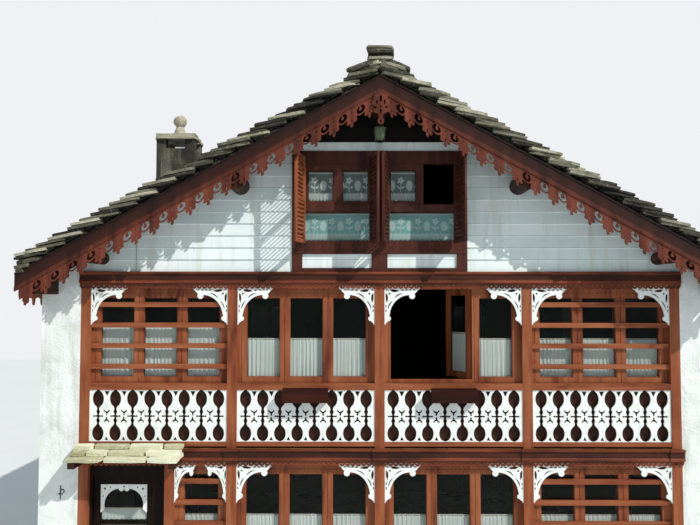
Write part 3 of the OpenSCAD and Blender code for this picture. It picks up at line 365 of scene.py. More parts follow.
def boardedWood(name, along, across, width, dark, main, light):
    # Boards side by side, with a dark joint between them and a tone of their own
    g = Graph(name, **{"Specular IOR Level": 0.15})
    t = g.axis(across) / width
    own = g.node("ShaderNodeTexWhiteNoise", {"noise_dimensions": "1D"}, W=t.maths("FLOOR"))
    inside = t.maths("FRACT")
    joint = inside.below(0.03, 0.015).larger(inside.above(0.97, 0.015))
    grain = g.grain(along, 0.03, 50, 6, 0.62, 0.3)
    colour = g.ramp(own * 0.5 + grain * 0.5, (0.2, dark), (0.5, main), (0.8, light))
    colour = g.mix(joint * 0.85, colour, tuple(c * 0.2 for c in dark[:3]) + (1,))
    return g.finish(colour, 0.5 + 0.25 * grain, grain * 0.5 - joint * 1.5)


def windowGlass(name, clear, low=rgb(6, 16, 10), high=rgb(16, 30, 20)):
    g = Graph(name, IOR=1.5)
    wave = g.noise(1.7, 2, 0.5)
    colour = g.ramp(wave, (0.3, low), (0.7, high))
    return g.finish(colour, 0.04 + 0.05 * wave, wave, 0.12, 0.01, clear + 0.08 * wave)


def ironLook(name, dark, main, worn):
    g = Graph(name, Metallic=0.75)
    speck = g.noise(120, 5, 0.7)
    colour = g.ramp(g.noise(18, 4, 0.6), (0.35, dark), (0.6, main), (0.75, worn))
    return g.finish(colour, 0.38 + 0.35 * speck, speck, 0.3, 0.001)


def clothLook():
    g = Graph("whiteCurtain", **{"Sheen Weight": 0.25})
    weave = g.noise(420, 3, 0.6, vector=g.stretched(1, 1, 0.4))
    colour = g.ramp(g.noise(6, 3, 0.5), (0.3, rgb(232, 251, 242)), (0.7, rgb(247, 255, 251)))
    return g.finish(colour, 0.75 + 0.2 * weave, weave, 0.3, 0.0006)


laceSizes = {
    "repeat": 0.125, "height": 0.430, "mesh": 0.020, "band": 0.115, "edges": (0.022, 0.395),
    "flower": 0.300, "petal": 0.042, "stem": (0.13, 0.26), "leaf": (0.032, 0.185), "leafHalf": (0.026, 0.013),
    "bush": 0.225, "bushHalf": (0.047, 0.075),
    "sashes": 6.20,  # the lace of the sashes over this height is whiter
}


def laceLook(s):
    # Rows of flowers on stems over a band of open mesh, between two worked edges
    g = Graph("laceCurtain")
    high = g.part(g.node("ShaderNodeUVMap", {"uv_map": "UVMap"}), "Y") * s["height"]
    x = g.axis("X")

    def fromMiddle(along, step):
        return ((along / step).maths("FRACT") - 0.5) * step

    def squares(a, b):
        return a * a + b * b

    across = fromMiddle(x, s["repeat"])
    side = across.maths("ABSOLUTE")
    up = high - s["flower"]
    reach = squares(across, up).maths("SQRT")
    lobes = (up.maths("ARCTAN2", across) * 5.0).maths("COSINE")
    flower = (lobes * 0.011 + s["petal"] - reach).above(0.0, 0.002) * reach.above(0.011, 0.002)
    stem = side.below(0.004, 0.001) * high.above(s["stem"][0], 0.003) * high.below(s["stem"][1], 0.003)
    rise = (high - s["leaf"][1] - side * 0.5) / s["leafHalf"][1]
    leafShape = squares(rise, (side - s["leaf"][0]) / s["leafHalf"][0]).below(1.0, 0.1)
    # every other place has a bush with round holes in it instead of a flower
    odd = ((x / s["repeat"]).maths("FLOOR") * 0.5).maths("FRACT").above(0.25, 0.01)
    spots = ((across * 190).maths("SINE") * (high * 190).maths("SINE")).above(0.45, 0.1)
    bush = squares(across / s["bushHalf"][0], (high - s["bush"]) / s["bushHalf"][1]).below(1.0, 0.08)
    hole = (squares(fromMiddle(x, s["mesh"]), fromMiddle(high, s["mesh"])).maths("SQRT")
            .below(s["mesh"] * 0.31, 0.001))
    band = high.below(s["band"], 0.002) * (1.0 - hole * 0.8)
    edges = high.below(s["edges"][0], 0.003).larger(high.above(s["edges"][1], 0.006))
    plant = flower.larger(stem).larger(leafShape)
    thick = (plant * (1.0 - odd)).larger(bush * (1.0 - spots * 0.7) * odd).larger(band).larger(edges)
    net = g.noise(260, 2, 0.6)
    lower, upper = (g.mix(thick, g.ramp(net, (0.35, thin), (0.65, pale)), worked) for thin, pale, worked in (
        (rgb(130, 194, 192), rgb(176, 232, 230), rgb(226, 255, 252)),
        (rgb(104, 124, 122), rgb(150, 172, 168), rgb(244, 255, 252))))
    colour = g.mix(g.axis("Z").above(s["sashes"], 0.02), lower, upper)
    return g.finish(colour, 0.75 + 0.2 * net, thick + net * 0.2, 0.4, 0.001)


paintLevel = paintedWood("redBrownPaintLevel", "X", paintLook)
paintUpright = paintedWood("redBrownPaintUpright", "Z", paintLook)
# the panels behind the railings are darkened: painted shade
paintParapet = paintedWood("redBrownPaintParapet", "X", paintLook, 0.5, shadeOfParapet, rgb(38, 18, 13))
# the bargeboards are darkened towards their top: painted shade under the roof stones
paintBargeboard = paintedWood("redBrownPaintBargeboard", "Z", bargeboardShadeLook, 0.4, shadeOfBargeboard,
                              rgb(24, 9, 5))
# the fascias are darkened, partly as painted shade
paintBand = paintedWood("redBrownPaintBand", "X", bandShadeLook, 0.5, shadeOfBand, rgb(34, 14, 8))
# a darker copy of the paint for the attic window and its shutters: painted shade under the roof
paintShaded = paintedWood("redBrownPaintInShade", "Z", shadedLook, 0.3)
fretPaint = whitePaintedWood()
gableWhite = gableBoards(boardLook)
wallPlaster = plaster("whitePlaster", (rgb(222, 225, 221), rgb(236, 240, 238), rgb(248, 251, 250)), roomShade)
# the chimney's plaster is dark grey-brown, partly its own colour and partly painted shade on the shaft
chimneyPlaster = plaster("darkChimneyPlaster", (rgb(34, 30, 25), rgb(54, 49, 40), rgb(84, 77, 64)))
plinthStone = rubble()
# each split stone: moss, the painted shade on its sides and edges, then its dark, main and light tones, moss
# and lichen
roofStone = splitStone("roofStone", 0.6, 0.7, rgb(26, 24, 17), rgb(112, 107, 88), rgb(206, 201, 178),
                       rgb(78, 80, 44), rgb(196, 194, 172))
paleStone = splitStone("paleStone", 0.35, 0.15, rgb(166, 160, 126), rgb(222, 221, 190), rgb(246, 246, 226),
                       rgb(176, 176, 120), rgb(236, 234, 214))
capStone = splitStone("capStone", 0.4, 0.3, rgb(110, 104, 88), rgb(172, 166, 146), rgb(214, 208, 188),
                      rgb(128, 124, 88), rgb(220, 216, 196))
rodFinish = ironLook("curtainRodBrass", rgb(150, 124, 70), rgb(190, 160, 96), rgb(120, 96, 56))
ironFinish = ironLook("darkIron", rgb(38, 36, 34), rgb(62, 58, 54), rgb(96, 66, 48))
soilFinish = plainWood("boxEarth", "Y", rgb(30, 22, 16), rgb(44, 33, 24), rgb(62, 48, 34), 0.9)
darkTimber = plainWood("darkTimber", "Y", rgb(34, 20, 14), rgb(54, 32, 22), rgb(78, 48, 34))
# dark wood for the door and its frame, made nearly black as painted shade in the recess under the canopy
doorTimberInShade = plainWood("doorTimberInShade", "Z", rgb(14, 6, 3), rgb(24, 11, 6), rgb(40, 20, 12))
boxTimber = plainWood("boxTimber", "X", rgb(34, 12, 6), rgb(50, 18, 9), rgb(70, 30, 17))
roofUnderside = boardedWood("roofBoards", "Y", "X", 0.19, rgb(52, 32, 24), rgb(78, 50, 36), rgb(104, 72, 52))
# the boards under the apex are nearly black: dark boards with painted shade under the roof
peakBoardsInShade = boardedWood("peakBoardsInShade", "X", "Z", 0.16, rgb(12, 11, 8), rgb(20, 18, 13), rgb(32, 28, 20))
floorBoards = boardedWood("floorBoards", "Y", "X", 0.16, rgb(120, 86, 56), rgb(150, 112, 74),
                          rgb(172, 134, 92))
glassLook = windowGlass("windowGlass", 0.14)
# the glass in the side and back walls is nearly opaque and dark: painted shade, so the rooms look dim through
# the front windows
dimGlass = windowGlass("dimWindowGlass", 0.9)
paleGlass = windowGlass("lanternGlass", 0.30, rgb(104, 128, 96), rgb(160, 182, 140))
curtainCloth = clothLook()
curtainLace = laceLook(laceSizes)
print("finishes made")

# the nodes that show in the frame's own shape; the others are replaced below
nodeFinishes = (
    (plinthStone, "stone_plinth", "ground_floor", "door_step"),
    (floorBoards, "first_floor", "attic_floor"),
    (wallPlaster, "left_wall", "right_wall", "back_wall"),
    (chimneyPlaster, "chimney"),
    (paintUpright, "wall_windows", "gallery_posts", "first_window_frames", "ground_window_frames",
     "open_window"),
    (doorTimberInShade, "door_frame", "front_door"),
    (paintBand, "first_floor_band", "attic_band"),
    (paintParapet, "first_parapets", "ground_parapets"),
    (paintLevel, "lattices"),
    (fretPaint, "door_fretwork"),
    (gableWhite, "gable_boarding"),
    (peakBoardsInShade, "gable_peak"),
    (darkTimber, "purlins", "left_rafters", "right_rafters", "canopy_bearers"),
    (roofUnderside, "left_roof_boards", "right_roof_boards"),
    (dimGlass, "wall_glass"),
    (glassLook, "first_glass", "ground_glass", "door_glass"),
    (ironFinish, "door_handle"),
    (boxTimber, "flower_boxes"),
)
for finish, *names in nodeFinishes:
    for name in names:
        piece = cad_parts[name]
        for slot in piece.material_slots:
            slot.material = finish
        if not piece.material_slots:
            piece.data.materials.append(finish)


# Help for making pieces

mesh = bpy.ops.mesh


def shift(x, y, z):
    return Matrix.Translation((x, y, z))


def rotation(angle, axis):
    return Matrix.Rotation(angle, 4, axis)


def stretch(x, y, z):
    return Matrix.Diagonal((x, y, z, 1))


still = Matrix.Identity(4)
halfTurn = rotation(math.pi, "Z")
mirrorX = stretch(-1, 1, 1)


def picked(*pieces):
    # Leaves only these pieces selected, and the first one active
    bpy.ops.object.select_all(action="DESELECT")
    for piece in pieces:
        piece.select_set(True)
    bpy.context.view_layer.objects.active = pieces[0]
    return pieces[0]


def removed(*pieces):
    picked(*pieces)
    bpy.ops.object.delete()


def joined(parts):
    picked(*parts)
    bpy.ops.object.join()
    return bpy.context.object


def made(shape, **sizes):
    # A new piece of one of Blender's own shapes
    bpy.ops.object.select_all(action="DESELECT")
    shape(**sizes)
    return bpy.context.object


def edited(piece, *steps):
    # Each step is a mesh operator with its settings, run on all of the piece
    picked(piece)
    bpy.ops.object.mode_set(mode="EDIT")
    mesh.select_all(action="SELECT")
    for step, settings in steps:
        step(**settings)
    bpy.ops.object.mode_set(mode="OBJECT")
    return piece


def cleaned(piece):
    return edited(piece, (mesh.remove_doubles, {"threshold": 0.00005}),
                  (mesh.normals_make_consistent, {"inside": False}))


def changed(piece, kind, **settings):
    # Applies one modifier
    change = picked(piece).modifiers.new(kind, kind)
    for key, value in settings.items():
        setattr(change, key, value)
    bpy.ops.object.modifier_apply(modifier=change.name)
    return piece


def copied(piece, matrix):
    # A copy with its own mesh, moved, turned or mirrored by the matrix
    twin = piece.copy()
    twin.data = piece.data.copy()
    twin.data.transform(matrix)
    bpy.context.collection.objects.link(twin)
    if matrix.determinant() < 0:
        twin.data.flip_normals()
    return twin


def marked(piece, **values):
    # Keeps the tone and the share of upward face that the stones' finish reads: one number,
    # or one for each face
    for name, value in values.items():
        every = value if isinstance(value, list) else [value] * len(piece.data.polygons)
        piece.data.attributes.new(name, "FLOAT", "FACE").data.foreach_set("value", every)


def settle(piece, name, finish, body, slot, *nodes):
    # Names a finished piece and ties it to the frame
    piece.name = piece.data.name = name
    piece.data.materials.clear()
    piece.data.materials.append(finish)
    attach(piece, body)
    if nodes:
        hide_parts(*nodes)


# Stones

stoneShape = {
    "kinds": 7, "cuts": 2, "seed": 40,
    "outline": 0.10, "corner": 0.22, "cornerLeast": 0.2, "own": 0.35,  # how far the sides lie in from the box
    "face": 0.16, "rimFace": 1.6,  # how far the faces do, and how much more round the rim
    "tone": (0.52, 0.30), "yaw": 1.8, "overlap": 1.02, "shortest": 0.6, "flush": 0.008,
}


def makeStone(kind, s):
    # A split flat stone in a 1 x 1 x 1 box about its centre: X down the slope, Y along the ridge,
    # Z its thickness
    stone = edited(made(mesh.primitive_cube_add, size=1), (mesh.subdivide, {"number_cuts": s["cuts"]}))
    r = random.Random(s["seed"] + kind)
    sides = {}
    for v in stone.data.vertices:
        column = (round(v.co.x, 2), round(v.co.y, 2))
        if column not in sides:
            sides[column] = (r.random(), r.random())
        atX, atY = abs(column[0]) > 0.49, abs(column[1]) > 0.49
        inX, inY = (s["corner"] * (s["cornerLeast"] + (1 - s["cornerLeast"]) * draw) if atX and atY
                    else s["outline"] * draw for draw in sides[column])
        own = s["outline"] * s["own"] * r.random()
        if atX:
            v.co.x *= 1 - inX - own
        if atY:
            v.co.y *= 1 - inY - own
        v.co.z *= 1 - s["face"] * r.random() * (s["rimFace"] if atX or atY else 1)
    return stone


class StoneRows:
    # Lays stones in rows along Y; turn puts the whole work at its side of the house
    def __init__(self, shapes, seed, tilt, turn=still):
        self.shapes, self.r, self.tilt, self.turn, self.laid = shapes, random.Random(seed), tilt, turn, []

    def lay(self, low, high, x, z, dip, length, thick, tone=None):
        # One stone with its lower top edge at x, z; its length runs back up the slope
        r, s = self.r, stoneShape
        if tone is None:
            tone = min(1.0, max(0.0, r.gauss(*s["tone"])))
        yaw = math.radians(r.uniform(-s["yaw"], s["yaw"]))
        roll = math.radians(r.uniform(-self.tilt, self.tilt))
        place = self.turn @ (shift(x, (low + high) / 2, z) @ rotation(dip, "Y")
                             @ shift(-length / 2, 0, -thick / 2)
                             @ rotation(yaw, "Z") @ rotation(roll, "X"))
        shape = r.choice(self.shapes)
        size = stretch(length, (high - low) * s["overlap"], thick)
        stone = copied(shape, place @ size @ (halfTurn if r.random() < 0.5 else still))
        marked(stone, stoneTone=tone, stoneTop=[max(0.0, face.normal.z) for face in stone.data.polygons])
        self.laid.append(stone)

    def row(self, low, high, s, place, jag=None):
        # Splits the row by chance, and keeps its two ends back by up to jag; place gives x, z, dip,
        # length and thickness of the next stone
        r, ends = self.r, [low]
        while high - ends[-1] > s["most"]:
            ends.append(ends[-1] + r.uniform(s["least"], s["most"]))
        if high - ends[-1] < s["least"] * stoneShape["shortest"]:
            ends.pop()
        ends.append(high)
        stay = (stoneShape["flush"], jag or s["jag"])
        for a, b in zip(ends, ends[1:]):
            if a == low:
                a += r.uniform(*stay)
            if b == high:
                b -= r.uniform(*stay)
            self.lay(a, b, *place())


roof = {
    "apex": roofLine["apex"], "pitch": 28.7, "halfWidth": 5.06, "halfLength": 4.61, "courses": 20,
    "upper": 0.4275, "lower": 0.5130,  # a course's top over the rafters' undersides, at its two ends
    "layer": 0.043, "thick": (0.80, 1.08), "tail": 0.25, "clear": 0.003, "tilt": 1.4,
    "least": 0.26, "most": 0.70,  # length of a stone along the ridge
    "jag": 0.085, "chimneyJag": 0.02,  # how far a stone may stay back from the verge, and from the chimney
    "poke": (0.02, 0.13), "back": (0.004, 0.035),  # how far lower stones stand out and upper ones stay back
    "chimney": (-3.38, -1.90, 0.345),
    "core": {"short": 0.16, "narrow": 0.5, "thick": 0.09, "back": 0.03, "top": 0.047},
    # the tone of the verge bed and the core: painted shade
    "shadeTone": 0.05,
}
# the layers under the courses
bed = {
    "foot": 0.200, "layer": 0.047,  # square to the slope, above the line of the rafters' undersides
    "thick": (0.85, 1.0), "length": (0.22, 0.46), "lap": 0.97, "wide": 0.46,
    "first": 0.10, "last": 0.25,  # from the eave, and from the ridge
    "vergeIn": 0.11, "jag": 0.05, "stepOut": 0.02,  # how far it stays back from the verge
}
# three thin layers under the lowest course
eaveStones = {
    "lengths": (0.42, 0.24, 0.14), "thick": 0.060, "layer": 0.062, "back": (0.015, 0.06),
    "least": 0.3, "most": 0.7, "jag": 0.06,
}


def cutChimney(core, s):
    x, y, half = s["chimney"]
    cutter = made(mesh.primitive_cube_add, size=2 * half, location=(x, y, s["apex"] - 1.5))
    cutter.scale.z = 4
    changed(core, "BOOLEAN", operation="DIFFERENCE", object=cutter, solver="EXACT")
    removed(cutter)


def roofSide(side, s, shapes, seed):
    rows = StoneRows(shapes, seed, s["tilt"], still if side > 0 else halfTurn)
    r, pitch = rows.r, math.radians(s["pitch"])
    slope, cosPitch = math.tan(pitch), math.cos(pitch)
    step = s["halfWidth"] / s["courses"]
    dip = math.atan((slope * step - (s["lower"] - s["upper"])) / step)
    end = s["halfLength"]
    chimneyX, chimneyY, half = s["chimney"]

    def line(x):
        return s["apex"] - slope * x

    def courseStone(course, layer):
        xEnd = (course + 1) * step
        out = r.uniform(*s["poke"]) if layer and course < s["courses"] - 1 else -r.uniform(*s["back"])
        z = line(xEnd) + s["lower"] - math.tan(dip) * out - s["clear"] - layer * s["layer"]
        tail = max(0.02, min(s["tail"], xEnd + out - step * 0.9 - 0.02))
        return xEnd + out, z, dip, (step + out + tail) / math.cos(dip), s["layer"] * r.uniform(*s["thick"])

    for course in range(s["courses"]):
        xEnd = (course + 1) * step
        spans = [(-end, end)]
        if side < 0 and xEnd > -chimneyX - half and xEnd - step < -chimneyX + half:
            # in the turned rows, the chimney lies behind the middle
            spans = [(-end, -chimneyY - half), (-chimneyY + half, end)]
        for layer in range(2):
            for low, high in spans:
                rows.row(low, high, s, lambda: courseStone(course, layer),
                         s["jag"] if high - low > end else s["chimneyJag"])
    # The bed shows at the verges, in the darkest tone as painted shade, and the thin layers at the eave
    for back in (-1, 1):
        for layer in range(2):
            x = s["halfWidth"] - bed["first"]
            while x > bed["last"]:
                length = r.uniform(*bed["length"])
                high = line(x) + (bed["foot"] + bed["layer"] * (layer + 1)) / cosPitch
                outer = end - bed["vergeIn"] - r.uniform(0.0, bed["jag"]) + bed["stepOut"] * layer
                rows.lay(*sorted((back * (end - bed["wide"]), back * outer)), x, high, pitch, length,
                         bed["layer"] * r.uniform(*bed["thick"]), s["shadeTone"])
                x -= length * cosPitch * bed["lap"]
    for layer, length in enumerate(eaveStones["lengths"]):
        top = line(s["halfWidth"]) + s["lower"] - (2 * s["layer"] + eaveStones["layer"] * layer)
        rows.row(-end, end, eaveStones, lambda: (
            s["halfWidth"] - r.uniform(*eaveStones["back"]), top, dip, length, eaveStones["thick"]))
    # A core in the darkest tone, painted shade, so that nothing is seen through the joints
    inner = s["core"]
    core = made(mesh.primitive_cube_add, size=1)
    core.data.transform(stretch(s["halfWidth"] / cosPitch - inner["short"], 2 * end - inner["narrow"],
                                inner["thick"]))
    middle = s["halfWidth"] / 2 - inner["back"]
    core.data.transform(rows.turn @ shift(middle, 0, line(middle) + (bed["foot"] + inner["top"]) / cosPitch)
                        @ rotation(pitch, "Y"))
    if side < 0:
        cutChimney(core, s)
    marked(core, stoneTone=s["shadeTone"], stoneTop=0.0)
    return joined(rows.laid + [core])


ridge = {
    "least": 0.30, "most": 0.64, "jag": 0.08,
    # wide stones that lean on both top courses
    "crown": 8.233, "halfWidth": 0.5, "dip": 19.8, "layer": 0.045, "thick": (0.85, 1.05), "tilt": 1.2,
    "back": (0.004, 0.07), "stepBack": 0.05, "overlap": 0.02,
    # narrow ones that are piled on them along the ridge
    "flatFoot": 8.172, "flatLayers": 5, "flatLayer": 0.0415, "flatThick": (0.85, 1.0), "flatTilt": 0.8,
    "flatWidth": 0.40, "flatShare": (0.84, 0.98), "aside": 0.012,
}


def ridgeStones(s, end, shapes, seed):
    laid = []
    dip = math.radians(s["dip"])
    for turn in (still, halfTurn):
        rows = StoneRows(shapes, seed + len(laid), s["tilt"], turn)
        for layer in range(2):
            def leaning():
                x = s["halfWidth"] - rows.r.uniform(*s["back"]) - s["stepBack"] * layer
                return (x, s["crown"] - math.tan(dip) * x - layer * s["layer"], dip,
                        x / math.cos(dip) + s["overlap"], s["layer"] * rows.r.uniform(*s["thick"]))
            rows.row(-end, end, s, leaning)
        laid += rows.laid
    rows = StoneRows(shapes, seed + 1, s["flatTilt"])
    for layer in range(s["flatLayers"]):
        def flat():
            width = s["flatWidth"] * rows.r.uniform(*s["flatShare"])
            top = s["flatFoot"] + s["flatLayer"] * (layer + 1)
            return (width / 2 + rows.r.uniform(-s["aside"], s["aside"]), top,
                    math.radians(rows.r.uniform(-1, 1)), width,
                    s["flatLayer"] * rows.r.uniform(*s["flatThick"]))
        rows.row(-end, end, s, flat)
    return joined(laid + rows.laid)


canopy = {
    "left": -4.318, "right": -2.742, "wall": 4.055, "depth": 0.455, "top": 2.838, "layers": 3, "layer": 0.060,
    "fall": 0.020, "least": 0.24, "most": 0.62, "jag": 0.05, "back": (0.003, 0.022), "thick": (0.82, 0.97),
    "tilt": 0.7,
}


def canopyStones(s, shapes, seed):
    # Rows over the door, each lower one standing further out
    rows = StoneRows(shapes, seed, s["tilt"], rotation(-math.pi / 2, "Z"))
    for i in range(s["layers"]):
        depth = s["depth"] * (i + 1) / s["layers"]

        def slab():
            out = depth - rows.r.uniform(*s["back"])
            dip = math.atan(s["fall"] / depth)
            return (s["wall"] + out, s["top"] - s["layer"] * i - math.tan(dip) * out, dip, out - 0.004,
                    s["layer"] * rows.r.uniform(*s["thick"]))
        rows.row(s["left"], s["right"], s, slab)
    return joined(rows.laid)


cap = {
    "place": (-3.38, -1.90, 7.5626), "seed": 5, "tilt": 0.5, "layer": 0.050, "thick": 0.96, "tone": 0.6,
    # the two sides, the reach and the layer of each slab
    "slabs": ((-0.40, 0.06, 0.40, 1), (0.06, 0.40, 0.37, 1), (-0.36, -0.05, 0.37, 2), (-0.05, 0.35, 0.35, 2)),
    "coneHeight": 0.20, "coneRadius": 0.125, "coneTop": 0.46, "coneRough": 0.007,
    "ballRadius": 0.120, "ballRough": 0.013, "ballSeat": 0.6, "roundTone": (0.5, 0.8),
    "roughScale": 9, "roughAt": (9.3, 5.1, 0),
}


def roughened(piece, amount, s):
    # Moves the points of a closed shape in and out, as split and weathered stone
    scale, move = s["roughScale"], Vector(s["roughAt"])
    normals = [v.normal.copy() for v in piece.data.vertices]
    for v, normal in zip(piece.data.vertices, normals):
        v.co += normal * amount * (noise.noise(v.co * scale + move)
                                   + 0.4 * noise.noise(v.co * scale * 2.7 + move))


def capStones(s, shapes):
    # Two layers of slabs, the round foot and the boulder on it
    x, y, foot = s["place"]
    rows = StoneRows(shapes, s["seed"], s["tilt"], shift(x, y, foot))
    thick = s["layer"] * s["thick"]
    for low, high, reach, layer in s["slabs"]:
        rows.lay(low, high, reach, s["layer"] * layer - 0.001, 0.0, 2 * reach - 0.02, thick, s["tone"])
    foot += 2 * s["layer"]
    cone = made(mesh.primitive_cone_add, vertices=28, radius1=s["coneRadius"],
                radius2=s["coneRadius"] * s["coneTop"], depth=s["coneHeight"],
                location=(x, y, foot + s["coneHeight"] / 2 - 0.004))
    edited(cone, (mesh.subdivide, {"number_cuts": 3}))
    ball = made(mesh.primitive_uv_sphere_add, segments=28, ring_count=18, radius=s["ballRadius"] - 0.008,
                location=(x, y, foot + s["coneHeight"] + s["ballRadius"] * s["ballSeat"]))
    for piece, amount in ((cone, s["coneRough"]), (ball, s["ballRough"])):
        picked(piece)
        bpy.ops.object.transform_apply(location=True, rotation=True, scale=True)
        roughened(piece, amount, s)
        marked(piece, stoneTone=s["roundTone"][0], stoneTop=s["roundTone"][1])
    return joined(rows.laid + [cone, ball])


stones = [makeStone(kind, stoneShape) for kind in range(stoneShape["kinds"])]
for piece, name, finish, slot, node in (
    (roofSide(1, roof, stones, 11), "rightRoofStones", roofStone, "roof_stone", "right_roof_slabs"),
    (roofSide(-1, roof, stones, 12), "leftRoofStones", roofStone, "roof_stone", "left_roof_slabs"),
    (ridgeStones(ridge, roof["halfLength"], stones, 13), "ridgeRowStones", roofStone, "roof_stone",
     "ridge_stones"),
    (canopyStones(canopy, stones, 21), "canopyStones", paleStone, "pale_stone", "door_canopy"),
    (capStones(cap, stones), "chimneyCapStones", capStone, "pale_stone", "chimney_cap"),
):
    settle(piece, name, finish, "house", slot, node)
removed(*stones)
print("stones laid")


# Fretwork and joinery, cut from boards

places = {
    "groundFloor": 0.240, "firstFloor": 2.750, "atticFloor": 5.260,
    "bays": (-4.140, -2.035, 0.070, 2.175), "narrowBay": -2.914, "sideStile": 0.130,
    "paneStep": 0.620, "pane": 0.465, "narrowPane": 0.479, "curtainY": -3.8387, "sill": 0.960,
    "cafe": 0.593, "tallCafe": 0.788,  # from the sill to the top of the curtain
}


def onCircle(centre, radius, turn):
    # A point on a circle, or on an ellipse where radius is a pair
    wide, high = radius if isinstance(radius, tuple) else (radius, radius)
    return centre[0] + wide * math.cos(math.radians(turn)), centre[1] + high * math.sin(math.radians(turn))


def arc(centre, radius, start, end, steps):
    return [onCircle(centre, radius, start + (end - start) * k / steps) for k in range(steps + 1)]


def ring(centre, radius, steps=16):
    return arc(centre, radius, 0, 360, steps)[:-1]


def rectangle(left, right, low, high):
    return [(left, low), (right, low), (right, high), (left, high)]


def mirrored(half):
    return [(-x, z) for x, z in reversed(half)]


def cutBoard(lines, front, thick, edge=0.0015):
    # A board seen from the front, whose face lies at Y = front; lines are its outline and its openings
    shape = made(bpy.ops.curve.primitive_bezier_circle_add).data
    shape.dimensions, shape.fill_mode = "2D", "BOTH"
    shape.splines.clear()
    for line in lines:
        spline = shape.splines.new("POLY")
        spline.points.add(len(line) - 1)
        for point, (x, z) in zip(spline.points, line):
            point.co = (x, z, 0, 1)
        spline.use_cyclic_u = True
    shape.extrude, shape.bevel_depth, shape.offset = thick / 2 - edge, edge, -edge
    bpy.ops.object.convert(target="MESH")
    board = bpy.context.object
    board.data.transform(shift(0, front + thick / 2, 0) @ rotation(math.pi / 2, "X"))
    return cleaned(board)


verge = {
    "end": 5.0, "front": -4.55,
    "low": 0.025, "top": 0.228, "thick": 0.035,  # low and top from the rafters' undersides
    "beadHeight": 0.050, "beadOut": 0.014, "stripHeight": 0.016, "filletHeight": 0.022, "filletOut": 0.010,
    "step": 0.2456, "leaf": 0.262, "leafThick": 0.025, "start": 0.028,
    "pendantHalf": 0.118, "pendantLong": 0.450, "pendantFront": -4.590, "pendantThick": 0.026,
}


def leafHalf(p, l):
    # The right half of one hanging leaf round its middle, from the tip up to the next opening
    return (arc((0, -0.90 * l), (0.085 * p, 0.10 * l), -90, 25, 5) + [(0.060 * p, -0.80 * l)]
            + arc((0.185 * p, -0.70 * l), 0.105 * p, -130, 50, 8)
            + arc((0.5 * p, -0.30 * l), 0.310 * p, 226, 270, 4))


def vergeBoard(s):
    # The right half of a gable's edge: the board, its mouldings and the hanging leaves
    def under(x, up=0.0):
        return x, roofLine["apex"] - x * roofLine["slope"] + up

    def strip(low, high):
        return [under(0, low), under(s["end"], low), under(s["end"], high), under(0, high)]

    def hung(x0, points):
        # points about x0 on the board's lower edge, sheared to its slope
        return [under(x0 + x, z - s["low"]) for x, z in points]

    p, l = s["step"], s["leaf"]
    count = int((s["end"] - s["start"] - 0.04) / p)
    middles = [s["start"] + (i + 0.5) * p for i in range(count)]
    half = leafHalf(p, l)
    leaf = mirrored(half)[:-1] + half[:-1]
    edge = [under(s["start"], 0.004 - s["low"])]
    for middle in middles:
        edge += hung(middle, leaf)
    last = s["start"] + count * p
    edge += hung(last, [(0, -0.35 * l)]) + [under(last, 0.004 - s["low"])]
    holes = []
    for middle in middles:
        holes.append(hung(middle, ring((0, -0.20 * l), 0.034 * p, 10)))
        holes.append(hung(middle, ring((0, -0.66 * l), (0.030 * p, 0.075 * l), 10)))
    for middle in middles[:-1]:
        # an opening with a curl in it, which hangs from its upper outer side
        rim = arc((0.5 * p, -0.30 * l), 0.235 * p, 68, -272, 22)
        curl = arc((0.52 * p, -0.275 * l), 0.088 * p, 112, 428, 14)
        holes.append(hung(middle, rim + curl))
    front, bead = s["front"], s["beadHeight"] - s["low"]
    mouldings = (
        (-s["low"], bead, s["beadOut"], 0.005),
        (bead - 0.002, bead + s["stripHeight"], s["beadOut"] * 0.5, 0.003),
        (s["top"] - s["filletHeight"], s["top"], s["filletOut"], 0.003),
    )
    parts = [cutBoard([strip(-s["low"], s["top"])], front, s["thick"], 0.003)]
    for low, high, out, rounding in mouldings:
        parts.append(cutBoard([strip(low, high)], front - out, out + 0.002, rounding))
    return joined(parts + [cutBoard([edge] + holes, front, s["leafThick"])])


def pendantBoard(s):
    # The pierced pendant in front of the joint of the two boards, from its right half
    w, l = s["pendantHalf"], s["pendantLong"]
    half = ([(0, 0.09 * l), (0.8 * w, 0.09 * l - 0.8 * w * roofLine["slope"]), (0.8 * w, -0.16 * l)]
            + arc((0.66 * w, -0.335 * l), 0.34 * w, 60, -80, 10) + [(0.42 * w, -0.46 * l)]
            + arc((0.51 * w, -0.57 * l), 0.29 * w, 50, -90, 9)
            + [(0.30 * w, -0.67 * l), (0.25 * w, -0.74 * l)]
            + arc((0, -0.89 * l), 0.39 * w, 50, -90, 12))
    outline = half + [point for point in mirrored(half) if point[0] < -1e-6]
    lines = [outline, ring((0, -0.20 * l), (0.145 * w, 0.10 * l)), ring((0, -0.445 * l), 0.10 * w, 12),
             ring((0, -0.59 * l), (0.10 * w, 0.09 * l)), ring((0, -0.89 * l), 0.12 * w, 12)]
    lines += [ring((side * 0.44 * w, -0.31 * l), (0.11 * w, 0.078 * l)) for side in (-1, 1)]
    board = cutBoard(lines, s["pendantFront"], s["pendantThick"], 0.003)
    board.data.transform(shift(0, 0, roofLine["apex"] - s["low"]))
    return board


rightVerge = vergeBoard(verge)
leftVerge = copied(rightVerge, mirrorX)
backVerges = [copied(rightVerge, halfTurn), copied(leftVerge, halfTurn)]
for piece, name, node in (
    (joined([rightVerge, pendantBoard(verge)]), "frontRightBargeboard", "front_right_bargeboard"),
    (leftVerge, "frontLeftBargeboard", "front_left_bargeboard"),
    (backVerges[0], "backLeftBargeboard", "back_left_bargeboard"),
    (backVerges[1], "backRightBargeboard", "back_right_bargeboard"),
):
    settle(piece, name, paintBargeboard, "house", "red_brown_paint", node)

